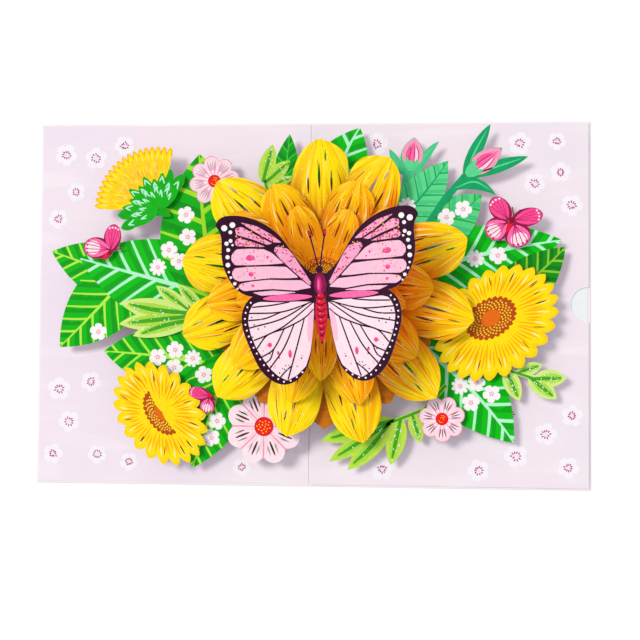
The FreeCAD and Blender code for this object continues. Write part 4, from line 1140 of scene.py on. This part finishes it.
# %% Sprigs
# stems as (start, end), leaflets as (base, tip, width, bow)
SPRIGS = {
    "sprig_top_left": ([((-20, 50), (-25.5, 69)), ((-25, 66), (-11.5, 76.5))], [
        ((-26, 66), (-20.6, 86.8), 9, 0), ((-24, 66), (-11.1, 77.8), 8, 0),
        ((-23, 62), (-8, 69), 5, 1)]),
    "sprig_left": ([((-44, -6), (-68, -7))], [
        ((-64, -6), (-104, -0.4), 12, 1), ((-64, -7.4), (-104.4, -12), 11.5, 0),
        ((-62, -9), (-96.5, -18.5), 11, -1), ((-66, -4), (-84, 9), 7.5, 0),
        ((-58, -5), (-72, 10), 7, 0)]),
    "sprig_right": ([((88, -34), (108, -36)), ((107.6, -35.8), (124, -41))], [
        ((106, -35.5), (113.2, -52), 9, 0), ((112, -37), (125.2, -32.6), 7, 0),
        ((121, -40), (138, -39.6), 9.5, 0), ((118, -39), (132.7, -50.8), 9.5, 0)]),
    "sprig_bottom": ([((74, -44), (62, -57.6)), ((62.6, -57), (42, -65.4))], [
        ((44, -64.6), (21.5, -90), 11, 1), ((47, -62.6), (11.4, -85.6), 10.5, 0),
        ((46, -63), (7.2, -74.5), 11.5, 0), ((50, -61.6), (44.6, -87), 10.5, 0),
        ((56, -59.6), (60.6, -75), 8, 0)]),
}
for number, (node, (stems, leaflets)) in enumerate(SPRIGS.items()):
    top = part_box(node)[1].z / MM + INK_STEP
    sprig = bmesh.new()
    for start, end in stems:
        stroke(sprig, [start, end], 1.4, "stem green", top, foot=0.9, tip=0.9)
    for start, end, wide, bow in leaflets:
        start, end = Vector(start), Vector(end)
        bend = sideways(end - start)
        dab(sprig, start.lerp(end, 0.14), start.lerp(end, 0.9), 0.56 * wide, "sprig green",
            top + INK_STEP * (0.6 + 0.001 * len(sprig.faces)), bow=bow, point=0.3)
        stroke(sprig, [start, start.lerp(end, 0.5) + bend * bow, start.lerp(end, 0.86)],
               0.2 * wide, "stem green", top + 2.5 * INK_STEP, foot=0.8, tip=0.4)
        field = [start.lerp(end, share) + bend * (bow * 4 * share * (1 - share) + side * wide)
                 for share, side in ((0.2, -0.14), (0.6, -0.34), (0.92, -0.06), (0.92, 0.06),
                                     (0.6, 0.34), (0.2, 0.14))]
        sprinkle(sprig, [tuple(spot) for spot in field], 22, 0.36, "white", top + 3.5 * INK_STEP,
                 number)
    lay_print(node + "_print", sprig)

# %% [markdown]
# Small white blossoms lie on the leaves: most with five round petals, some with many narrow
# ones. Their heights could be typed in, but a ray cast down from above finds the sheet that each
# is printed on, and still does when a leaf's level changes.


# %% Blossoms
def blossom(bm, centre, radius, turn, z, daisy):
    """Five round white petals, or nine narrow ones, about a pink middle."""
    count = 9 if daisy else 5
    width = (0.45 if daisy else 0.84) * radius
    for index in range(count):
        angle = turn + index * 360 / count
        dab(bm, polar(centre, angle, 0.12 * radius), polar(centre, angle, radius), width, "white",
            z + 0.1 * INK_STEP * index, lean=0.62)
    dot(bm, centre, 0.24 * radius, "petal pink", z + 1.5 * INK_STEP, sides=10)
    for index in range(5):
        dot(bm, polar(centre, turn + 36 + index * 72, 0.2 * radius), 0.07 * radius, "hot pink",
            z + 2.5 * INK_STEP, sides=6)


def sheet_top(x, y):
    """The height in mm of the topmost leaf under a place."""
    casts = (nodes[node].ray_cast(Vector((x, y, 100.0)) * MM, Vector((0, 0, -1)))
             for node in LEAVES)
    return max(place.z / MM for hit, place, normal, index in casts if hit)


BLOSSOM_RADIUS = 4.8
BLOSSOMS = [(-68.1, 48.0), (-66.9, 35.9), (-77.3, 28.7), (-71.6, 22.6), (-116.2, -16.4),
            (-83.0, -30.0), (-73.4, -26.0), (-73.8, -35.6), (-57.4, -39.4), (-49.8, -64.5),
            (-52.8, -73.6), (90.3, -42.6), (98.4, -48.4), (87.4, -53.2), (101.6, 26.0),
            (74.0, 46.6), (83.0, 51.0)]
DAISIES = [(-83.4, 19.2), (-63.6, -30.6), (81.6, -44.4), (89.6, 24.2), (52.7, 52.6)]
bpy.context.view_layer.update()
scatter = bmesh.new()
for number, centre in enumerate(BLOSSOMS + DAISIES):
    blossom(scatter, centre, BLOSSOM_RADIUS, 40 * number, sheet_top(*centre) + INK_STEP,
            centre in DAISIES)
lay_print("leaf_blossoms_print", scatter)

# %% [markdown]
# On the panels the blossoms are so pale that only their pink stamens stand out. They could be
# strewn by chance, but a printer keeps them clear of the bouquet, so their places are set one by
# one and only their turn and size vary.

# %% Panel blossoms
PANELS = {
    "left_liner": [(-138, 83), (-121, 81), (-132, 62), (-142, 47), (-140, -48), (-122, -44),
                   (-134, -66), (-118, -84), (-100, -88), (-37, -90), (-105, 88), (-143, -84)],
    "pocket_liner": [(114, 88), (134, 89), (136, 72), (122, 66), (142, 54), (109, -60), (128, -70),
                     (112, -82), (140, -88), (92, -90), (40, -90), (142, -60), (36, 88)],
}
for number, (node, places) in enumerate(PANELS.items()):
    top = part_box(node)[1].z / MM + INK_STEP
    field = bmesh.new()
    chance = random.Random(number)
    for centre in places:
        turn, size = chance.uniform(0, 72), chance.uniform(5.0, 6.6)
        for index in range(5):
            angle = turn + index * 72
            dab(field, polar(centre, angle, 0.1 * size), polar(centre, angle, size), 0.86 * size,
                "bluish white", top + 0.1 * INK_STEP * index, lean=0.62)
        for index in range(10):
            angle = turn + index * 36
            inner = size * chance.uniform(0.14, 0.3)
            stroke(field, [polar(centre, angle, inner), polar(centre, angle, inner + 0.2 * size)],
                   0.75, "stamen pink", top + 1.5 * INK_STEP, foot=0.8, tip=0.6)
    lay_print(node + "_print", field)

# %% [markdown]
# The big flower's own seed disc, gold seeds on brown, lies under the butterfly's head. A larger
# disc could stand for all its seeds, but in the card they run out over the petals' feet. So a
# collar of seeds is printed round it on the inner petals, and follows the start of their rise.

# %% Big seed disc
COLLAR_LIFT = 0.05
low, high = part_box("flower_disc")
disc_radius = 0.5 * (high.x - low.x) / MM
big_disc = bmesh.new()
seeds(big_disc, FLOWER, (0.92 * disc_radius, 0.92 * disc_radius), 0, 190, 0.42, "gold",
      high.z / MM + INK_STEP)
lay_print("flower_disc_print", big_disc)

collar = bmesh.new()
for radius, width, ink_name, layer in ((disc_radius + 0.7, 1.5, "seed brown", 1),
                                       (disc_radius + 1.9, 1.5, "seed brown", 1.2),
                                       (disc_radius + 2.9, 0.9, "orange", 2)):
    circle = [polar(FLOWER, angle, radius) for angle in range(0, 361, 30)]
    stroke(collar, circle, width, ink_name, layer * INK_STEP, foot=1.0, tip=1.0)
seeds(collar, FLOWER, (disc_radius + 2.4, disc_radius + 2.4), 0, 95, 0.42, "gold",
      3 * INK_STEP, hole=(disc_radius + 0.6) / (disc_radius + 2.4))
lay_print("seed_collar_print", collar, lambda spot: Vector((
    spot.x, spot.y, petal_height("inner_petals", spot.xy) + COLLAR_LIFT + spot.z)))

# %% [markdown]
# The card lies on a plain white table. Soft daylight falls from the upper left, which throws
# soft shadows to the lower right. One lamp alone would leave them black, so about half of the
# light comes from the sky, and a printed colour renders about as it is written. What the camera
# sees of the table and the sky is pure white, while the light they give is weaker.

# %% Table, light and camera
TABLE_SIDE = 4.0
TABLE_DROP = 0.2 * MM
SUN_LEVEL = 1.75
SUN_SPREAD = math.radians(18)
SUN_HEADING = Vector((0.62, -0.36, -1.0))
SKY_LEVEL = 0.63


def seen(tree):
    """1 on the paths that show a surface and 0 on those that only carry its light."""
    paths = add(tree, "LightPath")
    shown = paths.outputs["Is Camera Ray"]
    for kind in ("Is Glossy Ray", "Is Transmission Ray"):
        shown = add(tree, "Math", {"operation": "MAXIMUM"}, {0: shown, 1: paths.outputs[kind]})
    return shown


bpy.ops.mesh.primitive_plane_add(size=TABLE_SIDE, location=(0, 0, -TABLE_DROP))
table_top = bpy.context.object
table_top.name = "table_top"
table_white, tree = start_material("table, white laminate")
tone = add(tree, "Mix", {"data_type": "RGBA"}, {"Factor": seen(tree), "A": "#d8d8d8",
                                                "B": "#ffffff"})
matt = add(tree, "BsdfPrincipled", inputs={"Base Color": tone, "Roughness": 0.6})
add(tree, "OutputMaterial", inputs={"Surface": matt})
table_top.data.materials.append(table_white)

sun = bpy.data.lights.new("window", "SUN")
sun.energy = SUN_LEVEL
sun.color = linear("#fffaf0")[:3]
sun.angle = SUN_SPREAD
window = bpy.data.objects.new("window", sun)
window.rotation_euler = SUN_HEADING.to_track_quat("-Z", "Y").to_euler()
bpy.context.scene.collection.objects.link(window)

world = bpy.data.worlds.new("room")
bpy.context.scene.world = world
world.use_nodes = True
sky = world.node_tree.nodes["Background"]
sky.inputs["Color"].default_value = linear("#fcf8ff")
level = add(world.node_tree, "MapRange", inputs={"Value": seen(world.node_tree),
                                                 "To Min": SKY_LEVEL, "To Max": 1.0})
world.node_tree.links.new(level.outputs["Result"], sky.inputs["Strength"])

FRAME_PIXELS = 640
FOCAL_PIXELS = 1093
CAMERA_PLACE = Vector((46.2, -30.3, 600.0))
CAMERA_TURN = (0.036, 0.0677, 0.0074)
camera = bpy.data.objects.new("camera", bpy.data.cameras.new("camera"))
camera.data.sensor_width = 36.0
camera.data.lens = camera.data.sensor_width * FOCAL_PIXELS / FRAME_PIXELS
camera.data.clip_start = 0.01
camera.location = CAMERA_PLACE * MM
camera.rotation_euler = CAMERA_TURN
bpy.context.scene.collection.objects.link(camera)
bpy.context.scene.camera = camera
bpy.context.scene.view_settings.view_transform = "Standard"
print("sun", SUN_LEVEL, "sky", SKY_LEVEL, "camera at", list(CAMERA_PLACE))
